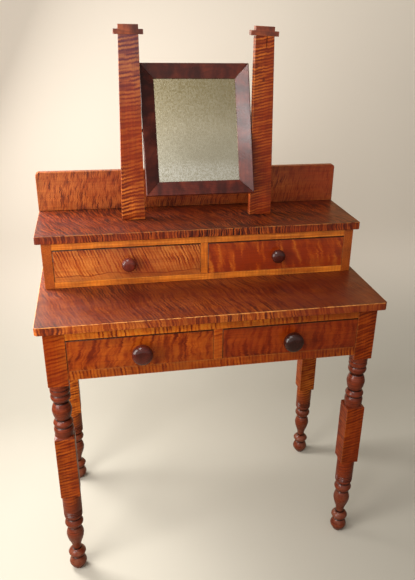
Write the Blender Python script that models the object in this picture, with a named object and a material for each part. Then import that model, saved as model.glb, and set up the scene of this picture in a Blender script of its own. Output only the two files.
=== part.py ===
# Dressing table in tiger maple: a stand with two drawers on turned legs, a set-back case with two small
# drawers, and a mahogany-framed mirror that swings between two tapering posts.
# Metres, +Z up, front towards -Y, origin under the middle of the whole table.

import math

import bmesh
import bpy
from mathutils import Vector

# Clearances
FIT = 0.0003
RUN = 0.0008
DRAWER_HEAD_GAP = 0.0020
SWING_GAP = 0.0020

# Lower top
TOP_WIDTH = 0.8636
TOP_DEPTH = 0.4572
TOP_HEIGHT = 0.785
TOP_THICK = 0.0205
TOP_CORNER = 0.009
EDGE_EASE = 0.0012

# Lower stand
LEG = 0.050
SIDE_OVERHANG = 0.016
FRONT_OVERHANG = 0.019
BACK_OVERHANG = 0.003
LOWER_TOP_RAIL = 0.0265
LOWER_OPENING = 0.084
LOWER_BOTTOM_RAIL = 0.024
LOWER_RAIL_DEPTH = 0.040
LOWER_DIVIDER = 0.022
SIDE_APRON_THICK = 0.022
BACK_APRON_THICK = 0.020
APRON_INSET = 0.004
STAND_TENON = 0.020
STAND_SHOULDER = 0.007
DIVIDER_TENON = 0.008
RUNNER_LEDGE = 0.030
RUNNER_GUIDE = 0.036

# Turned leg, from the top block down. A peak is measured from the upper end of its bead.
BLOCK_DROP = 0.0157
UPPER_TURNING = 0.157
MIDDLE_BLOCK = 0.186
TURN_EASE = 0.0002
SHOULDER = 0.003
DRUM = 0.0483
DRUM_NECK = 0.0085
BALL = 0.049
BALL_PEAK = 0.0225
UPPER_RING = 0.020
UPPER_RING_PEAK = 0.0115
LOWER_RING = 0.0215
LOWER_RING_PEAK = 0.010
CYLINDER = 0.0738
COLLAR = 0.0115
BEAD = 0.0315
BEAD_PEAK = 0.0155
VASE_PEAK = 0.0235
DISC = 0.028
DISC_PEAK = 0.0135
FOOT = 0.0435
FOOT_PEAK = 0.021
FOOT_BASE_RADIUS = 0.012
FOOT_FULLNESS = 1.5
NECK_RADIUS = 0.0172
RING_GROOVE_RADIUS = 0.0205
RING_BASE_RADIUS = 0.0238
COLLAR_GROOVE_RADIUS = 0.0165
VASE_TOP_RADIUS = 0.0150
VASE_NARROWING = 0.0014
VASE_NECK_RADIUS = 0.0108
DISC_NARROWING = 0.0010
DISC_NECK_RADIUS = 0.0140
BEAD_FULLNESS = 1.4
LEG_SIDES = 16

# Upper case
CASE_SETBACK = 0.222
CASE_HEIGHT = 0.1238
CASE_SIDE = 0.025
CASE_TOP_RAIL = 0.0191
CASE_BOTTOM_RAIL = 0.0175
CASE_RAIL_DEPTH = 0.025
CASE_DIVIDER = 0.019
CASE_TENON = 0.010
CASE_SHOULDER = 0.005
CASE_DIVIDER_TENON = 0.006
CASE_BACK_THICK = 0.010
CASE_BACK_REBATE = 0.012
CASE_GUIDE = 0.030
UPPER_TOP_LAP = 0.0142
UPPER_TOP_THICK = 0.0207
UPPER_TOP_OVERHANG = 0.008
UPPER_TOP_CORNER = 0.004
BACKSPLASH_HEIGHT = 0.108
BACKSPLASH_THICK = 0.0186
BACKSPLASH_CORNER = 0.008

# Drawers
FRONT_THICK = 0.019
DRAWER_SIDE = 0.010
DRAWER_BACK = 0.010
DRAWER_BOTTOM = 0.006
BOTTOM_RISE = 0.010
BOTTOM_GROOVE = 0.005
SIDE_DROP = 0.006
BACK_DROP = 0.010
TAIL_LENGTH = 0.012
TAIL_COUNT = 3
TAIL_SPREAD = 0.0025
TAIL_ROOT_SHARE = 0.5
LOWER_DRAWER_ROOM = 0.021
UPPER_DRAWER_ROOM = 0.011

# Knobs
LOWER_KNOB_DIAMETER = 0.051
LOWER_KNOB_REACH = 0.036
LOWER_KNOB_DOME = 0.016
UPPER_KNOB_DIAMETER = 0.037
UPPER_KNOB_REACH = 0.027
UPPER_KNOB_DOME = 0.012
KNOB_RIM = 0.004
KNOB_RIM_EASE = 0.0015
KNOB_FOOT_RADIUS = 0.0105
KNOB_NECK_RADIUS = 0.0085
KNOB_NECK = 0.0045
KNOB_FLARE = 0.0045
KNOB_SHANK_RADIUS = 0.006
KNOB_SIDES = 20

# Mirror and posts
MIRROR_WIDTH = 0.286
MIRROR_HEIGHT = 0.334
MIRROR_MEMBER = 0.036
MIRROR_THICK = 0.024
MIRROR_TILT = math.radians(19.2)
MIRROR_PIVOT_RISE = 0.2322
SIGHT_DEPTH = 0.013
SIGHT_LIP = 0.0027
FRAME_EDGE = 0.003
RABBET = 0.006
GLASS_THICK = 0.003
PIN_DEPTH = 0.0105
PIN_RADIUS = 0.0035
PIN_IN_FRAME = 0.018
PIN_IN_POST = 0.014
PIN_SIDES = 16
POST_SETBACK = 0.110
POST_HEIGHT = 0.460
POST_BASE = 0.0615
POST_TOP = 0.049
POST_THICK = 0.022
POST_TENON = 0.012
POST_SHOULDER = 0.006
CAP_EAR = 0.0115
CAP_PLATE = 0.012
CAP_BLOCK = 0.0105
CAP_TENON = 0.007

ARC_STEPS = 4
SHARP_ANGLE = math.radians(60)
CUT_MARGIN = 0.002

# Places that follow from the sizes above
KNOB_LEAD = max(LOWER_KNOB_REACH - FRONT_OVERHANG, 0.0)
BACK = (TOP_DEPTH + KNOB_LEAD) / 2
TOP_FRONT = BACK - TOP_DEPTH
LEG_FRONT = TOP_FRONT + FRONT_OVERHANG
LEG_REAR = BACK - BACK_OVERHANG
BACK_APRON_FRONT = LEG_REAR - APRON_INSET - BACK_APRON_THICK
LOWER_DRAWER_LENGTH = BACK_APRON_FRONT - LOWER_DRAWER_ROOM - LEG_FRONT
LEG_OUTER = TOP_WIDTH / 2 - SIDE_OVERHANG
LEG_INNER = LEG_OUTER - LEG
STAND_TOP = TOP_HEIGHT - TOP_THICK - FIT
LOWER_HEAD = TOP_HEIGHT - TOP_THICK - LOWER_TOP_RAIL
LOWER_SILL = LOWER_HEAD - LOWER_OPENING
STAND_BOTTOM = LOWER_SILL - LOWER_BOTTOM_RAIL
TOP_BLOCK_END = STAND_BOTTOM - BLOCK_DROP
MIDDLE_TOP = TOP_BLOCK_END - UPPER_TURNING
MIDDLE_END = MIDDLE_TOP - MIDDLE_BLOCK
TURN_RADIUS = LEG / 2 - TURN_EASE
CASE_FRONT = TOP_FRONT + CASE_SETBACK
CASE_BACK_FRONT = BACK - CASE_BACK_THICK
UPPER_DRAWER_LENGTH = CASE_BACK_FRONT - UPPER_DRAWER_ROOM - CASE_FRONT
CASE_OUTER = LEG_OUTER
UPPER_TOP_WIDTH = 2 * (CASE_OUTER + UPPER_TOP_LAP)
CASE_INNER = CASE_OUTER - CASE_SIDE
CASE_FLOOR = TOP_HEIGHT + FIT
CASE_SILL = TOP_HEIGHT + CASE_BOTTOM_RAIL
CASE_UNDER = TOP_HEIGHT + CASE_HEIGHT
CASE_HEAD = CASE_UNDER - CASE_TOP_RAIL
UPPER_TOP = CASE_UNDER + UPPER_TOP_THICK
UPPER_TOP_FRONT = CASE_FRONT - UPPER_TOP_OVERHANG
POST_FRONT = UPPER_TOP_FRONT + POST_SETBACK
POST_BACK = POST_FRONT + POST_THICK
POST_INNER = MIRROR_WIDTH / 2 + SWING_GAP
POST_FOOT = UPPER_TOP + FIT
POST_HEAD = UPPER_TOP + POST_HEIGHT
PIVOT = Vector((0.0, POST_FRONT + POST_THICK / 2, UPPER_TOP + MIRROR_PIVOT_RISE))


def material(name, colour, roughness, metallic=0.0):
    made = bpy.data.materials.new(name)
    made.use_nodes = True
    shader = made.node_tree.nodes["Principled BSDF"]
    shader.inputs["Base Color"].default_value = (*colour, 1.0)
    shader.inputs["Roughness"].default_value = roughness
    shader.inputs["Metallic"].default_value = metallic
    return made


def finish(name, shape, look, parent=None):
    # Turns a bmesh into a named object with its material.
    bmesh.ops.recalc_face_normals(shape, faces=shape.faces)
    mesh = bpy.data.meshes.new(name)
    shape.to_mesh(mesh)
    shape.free()
    mesh.materials.append(look)
    made = bpy.data.objects.new(name, mesh)
    bpy.context.collection.objects.link(made)
    made.parent = parent
    return made


def empty(name, place, turn=0.0):
    made = bpy.data.objects.new(name, None)
    made.location = place
    made.rotation_euler.x = turn
    bpy.context.collection.objects.link(made)
    return made


def box(low, high):
    shape = bmesh.new()
    bmesh.ops.create_cube(shape, size=1.0)
    for vert in shape.verts:
        vert.co = Vector(high[i] if vert.co[i] > 0 else low[i] for i in range(3))
    return shape


def grown(low, high, gap):
    # The room that a piece between two corners takes, with a gap all round.
    return [value - gap for value in low], [value + gap for value in high]


def prism(outline, axis, start, end):
    # Extrudes a flat outline along one axis. The outline gives the two other axes in X, Y, Z order.
    shape = bmesh.new()
    ring = []
    for first, second in outline:
        place = [first, second]
        place.insert(axis, start)
        ring.append(shape.verts.new(place))
    face = shape.faces.new(ring)
    pushed = bmesh.ops.extrude_face_region(shape, geom=[face])["geom"]
    step = Vector((0.0, 0.0, 0.0))
    step[axis] = end - start
    bmesh.ops.translate(shape, verts=[g for g in pushed if isinstance(g, bmesh.types.BMVert)], vec=step)
    return shape


def arc(centre, radius, start, end):
    angles = [start + (end - start) * step / ARC_STEPS for step in range(ARC_STEPS + 1)]
    return [(centre[0] + radius * math.cos(a), centre[1] + radius * math.sin(a)) for a in angles]


def ease(shape, width):
    # Takes the sharp edge off every corner of a sawn piece.
    bmesh.ops.recalc_face_normals(shape, faces=shape.faces)
    sharp = [e for e in shape.edges if e.calc_face_angle() > SHARP_ANGLE]
    bmesh.ops.bevel(shape, geom=sharp, offset=width, segments=1, affect='EDGES')
    return shape


def cylinder(axis, start, end, radius, sides):
    turns = [2 * math.pi * step / sides for step in range(sides)]
    return prism([(radius * math.cos(a), radius * math.sin(a)) for a in turns], axis, start, end)


def shifted(shape, place):
    bmesh.ops.translate(shape, verts=shape.verts, vec=place)
    return shape


def cut(target, *tools):
    # Cuts each tool out of the target and throws the tool away.
    for tool in tools:
        bmesh.ops.recalc_face_normals(tool, faces=tool.faces)
        mesh = bpy.data.meshes.new("cutter")
        tool.to_mesh(mesh)
        tool.free()
        cutter = bpy.data.objects.new("cutter", mesh)
        bpy.context.collection.objects.link(cutter)
        modifier = target.modifiers.new("cut", 'BOOLEAN')
        modifier.operation = 'DIFFERENCE'
        modifier.object = cutter
        graph = bpy.context.evaluated_depsgraph_get()
        result = bpy.data.meshes.new_from_object(target.evaluated_get(graph))
        target.modifiers.clear()
        old = target.data
        target.data = result
        bpy.data.meshes.remove(old)
        bpy.data.objects.remove(cutter)
        bpy.data.meshes.remove(mesh)


def push_tenon(shape, axis, side, shoulder, length):
    # Pushes a tenon out of a board's end face, with the same shoulder all round.
    end = max(shape.faces, key=lambda face: side * face.calc_center_median()[axis])
    bmesh.ops.inset_region(shape, faces=[end], thickness=shoulder, use_even_offset=True)
    pushed = bmesh.ops.extrude_face_region(shape, geom=[end])["geom"]
    step = Vector((0.0, 0.0, 0.0))
    step[axis] = side * length
    bmesh.ops.translate(shape, verts=[g for g in pushed if isinstance(g, bmesh.types.BMVert)], vec=step)
    bmesh.ops.delete(shape, geom=[end], context='FACES_ONLY')


def tenoned(low, high, axis, shoulder, length):
    # A board with a tenon at both ends along one axis.
    shape = box(low, high)
    for side in (-1, 1):
        push_tenon(shape, axis, side, shoulder, length)
    return shape


def mortise(low, high, axis, shoulder, length):
    # The hole for both tenons of the board above: one box right through it.
    low = [value + shoulder for value in low]
    high = [value - shoulder for value in high]
    low[axis] -= shoulder + length
    high[axis] += shoulder + length
    return box(*grown(low, high, FIT))


def swell(start, peak):
    # Rings from the neck of a bead out to its peak, each as (z, radius). A fullness of 2 gives a quarter ellipse.
    power = 2 / BEAD_FULLNESS
    rings = []
    for step in range(1, ARC_STEPS + 1):
        turn = math.pi / 2 * step / ARC_STEPS
        z = start[0] + (peak[0] - start[0]) * (1 - abs(math.cos(turn)) ** power)
        rings.append((z, start[1] + (peak[1] - start[1]) * math.sin(turn) ** power))
    return rings


def bead(start, peak, end):
    # From neck to peak to the next neck, without the first ring.
    inward = swell(end, peak)
    return swell(start, peak) + inward[-2::-1] + [end]


def upper_turning():
    # Drum, ball and two rings between the leg's two square blocks, from the top down.
    ball_top = TOP_BLOCK_END - DRUM - DRUM_NECK
    ball_end = ball_top - BALL
    ring_end = ball_end - UPPER_RING
    second_end = ring_end - LOWER_RING
    neck = (ball_top, NECK_RADIUS)
    waist = (ball_end, NECK_RADIUS)
    groove = (ring_end, RING_GROOVE_RADIUS)
    rings = [(TOP_BLOCK_END - SHOULDER, TURN_RADIUS), (TOP_BLOCK_END - DRUM, TURN_RADIUS), neck]
    rings += bead(neck, (ball_top - BALL_PEAK, TURN_RADIUS), waist)
    rings += bead(waist, (ball_end - UPPER_RING_PEAK, TURN_RADIUS), groove)
    rings += bead(groove, (ring_end - LOWER_RING_PEAK, TURN_RADIUS), (second_end, RING_BASE_RADIUS))
    rings += [(MIDDLE_TOP + SHOULDER, RING_BASE_RADIUS)]
    return rings


def lower_turning():
    # Cylinder, collar, bead, vase, disc and foot. The vase takes up any change of the table's height.
    cylinder_end = MIDDLE_END - SHOULDER - CYLINDER
    collar = (cylinder_end - COLLAR, COLLAR_GROOVE_RADIUS)
    vase_top = (collar[0] - BEAD, VASE_TOP_RADIUS)
    vase_peak = (vase_top[0] - VASE_PEAK, TURN_RADIUS - VASE_NARROWING)
    neck = (FOOT + DISC, VASE_NECK_RADIUS)
    disc_peak = (neck[0] - DISC_PEAK, TURN_RADIUS - DISC_NARROWING)
    disc_end = (FOOT, DISC_NECK_RADIUS)
    foot_peak = (FOOT - FOOT_PEAK, TURN_RADIUS - DISC_NARROWING)
    rings = [(MIDDLE_END - SHOULDER, TURN_RADIUS), (cylinder_end, TURN_RADIUS), collar]
    rings += bead(collar, (collar[0] - BEAD_PEAK, TURN_RADIUS), vase_top)
    rings += swell(vase_top, vase_peak)
    for step in range(1, 2 * ARC_STEPS + 1):
        share = step / (2 * ARC_STEPS)
        fall = 0.5 - 0.5 * math.cos(math.pi * share)
        z = vase_peak[0] + (neck[0] - vase_peak[0]) * share
        rings.append((z, vase_peak[1] - (vase_peak[1] - neck[1]) * fall))
    rings += bead(neck, disc_peak, disc_end)
    rings += swell(disc_end, foot_peak)
    for step in range(1, ARC_STEPS + 1):
        share = step / ARC_STEPS
        spread = (foot_peak[1] - FOOT_BASE_RADIUS) * (1 - share ** FOOT_FULLNESS)
        rings.append((foot_peak[0] * (1 - share), FOOT_BASE_RADIUS + spread))
    return rings


def turned_leg(name, look):
    # One stick, lofted down through square and round rings of the same number of points.
    turns = [2 * math.pi * step / LEG_SIDES for step in range(LEG_SIDES)]
    half = LEG / 2
    square = [half / max(abs(math.cos(a)), abs(math.sin(a))) for a in turns]
    sections = [(STAND_TOP, square), (TOP_BLOCK_END, square)]
    sections += [(z, [radius] * LEG_SIDES) for z, radius in upper_turning()]
    sections += [(MIDDLE_TOP, square), (MIDDLE_END, square)]
    sections += [(z, [radius] * LEG_SIDES) for z, radius in lower_turning()]
    shape = bmesh.new()
    loops = []
    for z, reach in sections:
        loop = [shape.verts.new((r * math.cos(a), r * math.sin(a), z)) for r, a in zip(reach, turns)]
        loops.append(loop)
    for above, below in zip(loops, loops[1:]):
        for here in range(LEG_SIDES):
            after = (here + 1) % LEG_SIDES
            shape.faces.new((above[here], above[after], below[after], below[here]))
    shape.faces.new(loops[0])
    shape.faces.new(loops[-1])
    return finish(name, shape, look)


def slab(x, front, back, bottom, top, corner):
    # A board whose two front corners are rounded.
    outline = arc((x - corner, front + corner), corner, -math.pi / 2, 0.0)
    outline += [(x, back), (-x, back)]
    outline += arc((-x + corner, front + corner), corner, math.pi, 1.5 * math.pi)
    return ease(prism(outline, 2, bottom, top), EDGE_EASE)


def build_stand(maple, pine):
    rail_low = [-LEG_INNER + FIT, LEG_FRONT, 0.0]
    rail_high = [LEG_INNER - FIT, LEG_FRONT + LOWER_RAIL_DEPTH, 0.0]
    back_face = LEG_REAR - APRON_INSET
    across = {
        "lower_top_rail": (rail_low[:2] + [LOWER_HEAD], rail_high[:2] + [STAND_TOP]),
        "lower_bottom_rail": (rail_low[:2] + [STAND_BOTTOM], rail_high[:2] + [LOWER_SILL]),
        "back_apron": ([rail_low[0], BACK_APRON_FRONT, STAND_BOTTOM], [rail_high[0], back_face, STAND_TOP]),
    }
    apron_outer = LEG_OUTER - APRON_INSET
    apron_inner = apron_outer - SIDE_APRON_THICK
    apron_front = LEG_FRONT + LEG + FIT
    apron_rear = LEG_REAR - LEG - FIT
    along = {
        "side_apron_left": ([-apron_outer, apron_front, STAND_BOTTOM], [-apron_inner, apron_rear, STAND_TOP]),
        "side_apron_right": ([apron_inner, apron_front, STAND_BOTTOM], [apron_outer, apron_rear, STAND_TOP]),
    }
    rails = {}
    for axis, boards in ((0, across), (1, along)):
        for name, (low, high) in boards.items():
            rails[name] = finish(name, tenoned(low, high, axis, STAND_SHOULDER, STAND_TENON), maple[name])

    for side, x in (("left", -1), ("right", 1)):
        for end, y in (("front", LEG_FRONT + LEG / 2), ("rear", LEG_REAR - LEG / 2)):
            name = "leg_" + end + "_" + side
            leg = turned_leg(name, maple[name])
            place = Vector((x * (LEG_OUTER - LEG / 2), y, 0.0))
            fitted = [(0, across["back_apron"])]
            if end == "front":
                fitted = [(0, across["lower_top_rail"]), (0, across["lower_bottom_rail"])]
            fitted.append((1, along["side_apron_" + side]))
            for axis, (low, high) in fitted:
                cut(leg, shifted(mortise(low, high, axis, STAND_SHOULDER, STAND_TENON), -place))
            leg.location = place

    post_low = [-LOWER_DIVIDER / 2, LEG_FRONT, LOWER_SILL + FIT]
    post_high = [LOWER_DIVIDER / 2, LEG_FRONT + LOWER_RAIL_DEPTH, LOWER_HEAD - FIT]
    divider = tenoned(post_low, post_high, 2, STAND_SHOULDER, DIVIDER_TENON)
    finish("lower_divider", divider, maple["lower_divider"])
    for name in ("lower_top_rail", "lower_bottom_rail"):
        cut(rails[name], mortise(post_low, post_high, 2, STAND_SHOULDER, DIVIDER_TENON))

    guide_top = LOWER_SILL + RUNNER_GUIDE
    ledge = LEG_INNER - RUNNER_LEDGE
    for side, x in (("left", -1), ("right", 1)):
        outline = [(apron_inner - FIT, STAND_BOTTOM), (apron_inner - FIT, guide_top), (LEG_INNER, guide_top),
                   (LEG_INNER, LOWER_SILL), (ledge, LOWER_SILL), (ledge, STAND_BOTTOM)]
        outline = [(x * reach, z) for reach, z in outline]
        finish("runner_" + side, prism(outline, 1, apron_front, apron_rear), pine["runner_" + side])
    fin = LOWER_DIVIDER / 2
    wide = fin + RUNNER_LEDGE
    outline = [(-wide, STAND_BOTTOM), (wide, STAND_BOTTOM), (wide, LOWER_SILL), (fin, LOWER_SILL),
               (fin, guide_top), (-fin, guide_top), (-fin, LOWER_SILL), (-wide, LOWER_SILL)]
    runner_front = LEG_FRONT + LOWER_RAIL_DEPTH + FIT
    finish("runner_centre", prism(outline, 1, runner_front, BACK_APRON_FRONT - FIT), pine["runner_centre"])

    top = slab(TOP_WIDTH / 2, TOP_FRONT, BACK, TOP_HEIGHT - TOP_THICK, TOP_HEIGHT, TOP_CORNER)
    finish("lower_top", top, maple["lower_top"])


def build_case(maple, rail_look, pine):
    case_top = CASE_UNDER - FIT
    rail_back = CASE_FRONT + CASE_RAIL_DEPTH
    span = CASE_INNER - FIT
    rails = {
        "case_top_rail": ([-span, CASE_FRONT, CASE_HEAD], [span, rail_back, case_top]),
        "case_bottom_rail": ([-span, CASE_FRONT, CASE_FLOOR], [span, rail_back, CASE_SILL]),
    }
    made = {}
    for name, (low, high) in rails.items():
        made[name] = finish(name, tenoned(low, high, 0, CASE_SHOULDER, CASE_TENON), rail_look[name])
    low = [-CASE_DIVIDER / 2, CASE_FRONT, CASE_SILL + FIT]
    high = [CASE_DIVIDER / 2, rail_back, CASE_HEAD - FIT]
    divider = tenoned(low, high, 2, CASE_SHOULDER, CASE_DIVIDER_TENON)
    finish("case_divider", divider, rail_look["case_divider"])
    for name in rails:
        cut(made[name], mortise(low, high, 2, CASE_SHOULDER, CASE_DIVIDER_TENON))

    rebate = CASE_INNER + CASE_BACK_REBATE
    for side, x in (("left", -1), ("right", 1)):
        outline = [(CASE_INNER, CASE_FRONT), (CASE_OUTER, CASE_FRONT), (CASE_OUTER, BACK), (rebate, BACK),
                   (rebate, CASE_BACK_FRONT), (CASE_INNER, CASE_BACK_FRONT)]
        outline = [(x * reach, y) for reach, y in outline]
        name = "case_side_" + side
        board = finish(name, prism(outline, 2, CASE_FLOOR, case_top), rail_look[name])
        for rail_low, rail_high in rails.values():
            cut(board, mortise(rail_low, rail_high, 0, CASE_SHOULDER, CASE_TENON))
    back = box((-rebate + FIT, CASE_BACK_FRONT + FIT, CASE_FLOOR), (rebate - FIT, BACK, case_top))
    finish("case_back", back, pine["case_back"])
    floor = box((-span, rail_back + FIT, CASE_FLOOR), (span, CASE_BACK_FRONT, CASE_SILL))
    finish("case_bottom", floor, pine["case_bottom"])
    guide = box((-CASE_DIVIDER / 2, rail_back + FIT, CASE_SILL + FIT),
                (CASE_DIVIDER / 2, CASE_BACK_FRONT, CASE_SILL + CASE_GUIDE))
    finish("case_guide", guide, pine["case_guide"])

    half = UPPER_TOP_WIDTH / 2
    top = slab(half, UPPER_TOP_FRONT, BACK, CASE_UNDER, UPPER_TOP, UPPER_TOP_CORNER)
    upper_top = finish("upper_top", top, maple["upper_top"])
    foot = UPPER_TOP + FIT
    crest = UPPER_TOP + BACKSPLASH_HEIGHT
    outline = [(-half, foot), (half, foot)]
    outline += arc((half - BACKSPLASH_CORNER, crest - BACKSPLASH_CORNER), BACKSPLASH_CORNER, 0.0, math.pi / 2)
    outline += arc((-half + BACKSPLASH_CORNER, crest - BACKSPLASH_CORNER), BACKSPLASH_CORNER,
                   math.pi / 2, math.pi)
    board = ease(prism(outline, 1, BACK - BACKSPLASH_THICK, BACK), EDGE_EASE)
    finish("backsplash", board, maple["backsplash"])
    return upper_top


def tails(low, high, root, tip, gap):
    # Dovetails across the end of a drawer side, each as its own (y, z) outline, wider at the tip.
    pitch = (high - low) / TAIL_COUNT
    push = math.copysign(gap, tip - root)
    outlines = []
    for count in range(TAIL_COUNT):
        middle = low + pitch * (count + 0.5)
        narrow = pitch * TAIL_ROOT_SHARE / 2 + gap
        wide = narrow + TAIL_SPREAD
        outlines.append([(root - push, middle - narrow), (tip + push, middle - wide),
                         (tip + push, middle + wide), (root - push, middle + narrow)])
    return outlines


def knob_outline(diameter, reach, dome):
    # Half outline of a mushroom knob as (radius, distance out from the drawer front), from its tip inwards.
    head = diameter / 2
    rim = reach - dome
    points = []
    for step in range(1, ARC_STEPS + 1):
        turn = math.pi / 2 * step / ARC_STEPS
        points.append((head * math.sin(turn), rim + dome * math.cos(turn)))
    points.append((head - KNOB_RIM_EASE, rim - KNOB_RIM))
    points.append((KNOB_NECK_RADIUS + KNOB_FLARE, KNOB_NECK + KNOB_FLARE))
    points += [(KNOB_NECK_RADIUS, KNOB_NECK), (KNOB_FOOT_RADIUS, FIT)]
    points += [(KNOB_SHANK_RADIUS, FIT), (KNOB_SHANK_RADIUS, -FRONT_THICK)]
    return points


def knob(name, diameter, reach, dome, look, parent):
    # Turned about the Y axis. The domed face closes on the axis.
    shape = bmesh.new()
    turns = [2 * math.pi * step / KNOB_SIDES for step in range(KNOB_SIDES)]
    loops = []
    for radius, out in knob_outline(diameter, reach, dome):
        loops.append([shape.verts.new((radius * math.cos(a), -out, radius * math.sin(a))) for a in turns])
    for outer, inner in zip(loops, loops[1:]):
        for here in range(KNOB_SIDES):
            after = (here + 1) % KNOB_SIDES
            shape.faces.new((outer[here], outer[after], inner[after], inner[here]))
    tip = shape.verts.new((0.0, -reach, 0.0))
    for here in range(KNOB_SIDES):
        shape.faces.new((tip, loops[0][here], loops[0][(here + 1) % KNOB_SIDES]))
    shape.faces.new(loops[-1])
    return finish(name, shape, look, parent)


def drawer(name, opening, front_face, length, knob_size, looks):
    # A dovetailed drawer that fills an opening (x0, x1, z0, z1), built about the middle of its front.
    left, right, sill, head = opening
    middle = Vector(((left + right) / 2, front_face, (sill + head) / 2))
    slide = empty(name + "_slide", middle)
    half = (right - left) / 2 - RUN
    low = sill + FIT - middle.z
    high = head - DRAWER_HEAD_GAP - middle.z
    side_top = high - SIDE_DROP
    back_top = high - BACK_DROP
    inside = half - DRAWER_SIDE
    back_front = length - DRAWER_BACK
    floor_low = low + BOTTOM_RISE
    floor_high = floor_low + DRAWER_BOTTOM
    back_low = floor_high + FIT
    reach_in = inside + BOTTOM_GROOVE - FIT
    floor = ((-reach_in, FRONT_THICK - BOTTOM_GROOVE, floor_low), (reach_in, length, floor_high))
    front_root = FRONT_THICK + FIT
    front_tip = FRONT_THICK - TAIL_LENGTH
    back_root = back_front - FIT

    finish(name + "_bottom", box(*floor), looks["bottom"], slide)
    front_board = box((-half, 0.0, low), (half, FRONT_THICK, high))
    front = finish(name + "_front", ease(front_board, EDGE_EASE / 2), looks["front"], None)
    back_board = box((-half, back_front, back_low), (half, length, back_top))
    back = finish(name + "_back", back_board, looks["back"], None)
    bore = cylinder(1, -CUT_MARGIN, FRONT_THICK + CUT_MARGIN, KNOB_SHANK_RADIUS + FIT, KNOB_SIDES)
    cut(front, box(*grown(*floor, FIT)), bore)

    front_tails = tails(low, side_top, front_root, front_tip, 0.0)
    back_tails = tails(back_low, back_top, back_root, length, 0.0)
    outline = [(front_root, low), (back_root, low)]
    for tail in back_tails:
        outline += tail
    outline += [(back_root, side_top), (front_root, side_top)]
    for tail in reversed(front_tails):
        outline += reversed(tail)
    for side, x in (("left", -1), ("right", 1)):
        board = prism(outline, 0, x * inside, x * half)
        made = finish(name + "_side_" + side, board, looks["side_" + side], None)
        cut(made, box(*grown(*floor, FIT)))
        made.parent = slide
        ends = x * (inside - FIT), x * (half + CUT_MARGIN)
        for tail in tails(low, side_top, front_root, front_tip, FIT):
            cut(front, prism(tail, 0, *ends))
        for tail in tails(back_low, back_top, back_root, length, FIT):
            cut(back, prism(tail, 0, *ends))
    front.parent = slide
    back.parent = slide
    knob(name + "_knob", *knob_size, looks["knob"], slide)


def build_drawers(looks):
    inner = LOWER_DIVIDER / 2
    size = (LOWER_KNOB_DIAMETER, LOWER_KNOB_REACH, LOWER_KNOB_DOME)
    lower = {"lower_left_drawer": (-LEG_INNER, -inner), "lower_right_drawer": (inner, LEG_INNER)}
    for name, (left, right) in lower.items():
        drawer(name, (left, right, LOWER_SILL, LOWER_HEAD), LEG_FRONT, LOWER_DRAWER_LENGTH,
               size, looks[name])
    inner = CASE_DIVIDER / 2
    size = (UPPER_KNOB_DIAMETER, UPPER_KNOB_REACH, UPPER_KNOB_DOME)
    upper = {"upper_left_drawer": (-CASE_INNER, -inner), "upper_right_drawer": (inner, CASE_INNER)}
    for name, (left, right) in upper.items():
        drawer(name, (left, right, CASE_SILL, CASE_HEAD), CASE_FRONT, UPPER_DRAWER_LENGTH,
               size, looks[name])


def stretch(side, start, end):
    # A stretch of X on the left (-1) or right (1) half of the table, lower value first.
    return sorted((side * start, side * end))


def build_posts(upper_top, maple, cap_look):
    # Posts with a straight inner edge and a tapering outer edge, tenoned at both ends.
    stub_front = POST_FRONT + POST_SHOULDER
    stub_back = POST_BACK - POST_SHOULDER
    outer_foot = POST_INNER + POST_BASE
    outer_head = POST_INNER + POST_TOP
    seat = POST_HEAD + FIT
    plate = seat + CAP_PLATE
    for side, x in (("left", -1), ("right", 1)):
        outline = [(POST_INNER, POST_FOOT), (outer_foot, POST_FOOT), (outer_head, POST_HEAD),
                   (POST_INNER, POST_HEAD)]
        stick = prism([(x * reach, z) for reach, z in outline], 1, POST_FRONT, POST_BACK)
        push_tenon(stick, 2, -1, POST_SHOULDER, POST_TENON)
        push_tenon(stick, 2, 1, POST_SHOULDER, CAP_TENON)
        name = "post_" + side
        post = finish(name, stick, maple[name])
        bore_end = POST_INNER + PIN_IN_POST + FIT
        bore = cylinder(0, x * (POST_INNER - CUT_MARGIN), x * bore_end, PIN_RADIUS + FIT, PIN_SIDES)
        cut(post, shifted(bore, PIVOT))
        left, right = stretch(x, POST_INNER + POST_SHOULDER, outer_foot - POST_SHOULDER)
        foot = ((left, stub_front, POST_FOOT - POST_TENON), (right, stub_back, POST_FOOT + CUT_MARGIN))
        cut(upper_top, box(*grown(*foot, FIT)))

        outline = [(POST_INNER - CAP_EAR, seat), (outer_head + CAP_EAR, seat), (outer_head + CAP_EAR, plate),
                   (outer_head, plate), (outer_head, plate + CAP_BLOCK), (POST_INNER, plate + CAP_BLOCK),
                   (POST_INNER, plate), (POST_INNER - CAP_EAR, plate)]
        block = prism([(x * reach, z) for reach, z in outline], 1, POST_FRONT, POST_BACK)
        name = "post_cap_" + side
        cap = finish(name, block, cap_look[name])
        left, right = stretch(x, POST_INNER + POST_SHOULDER, outer_head - POST_SHOULDER)
        head = ((left, stub_front, POST_HEAD - CUT_MARGIN), (right, stub_back, POST_HEAD + CAP_TENON))
        cut(cap, box(*grown(*head, FIT)))


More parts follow.
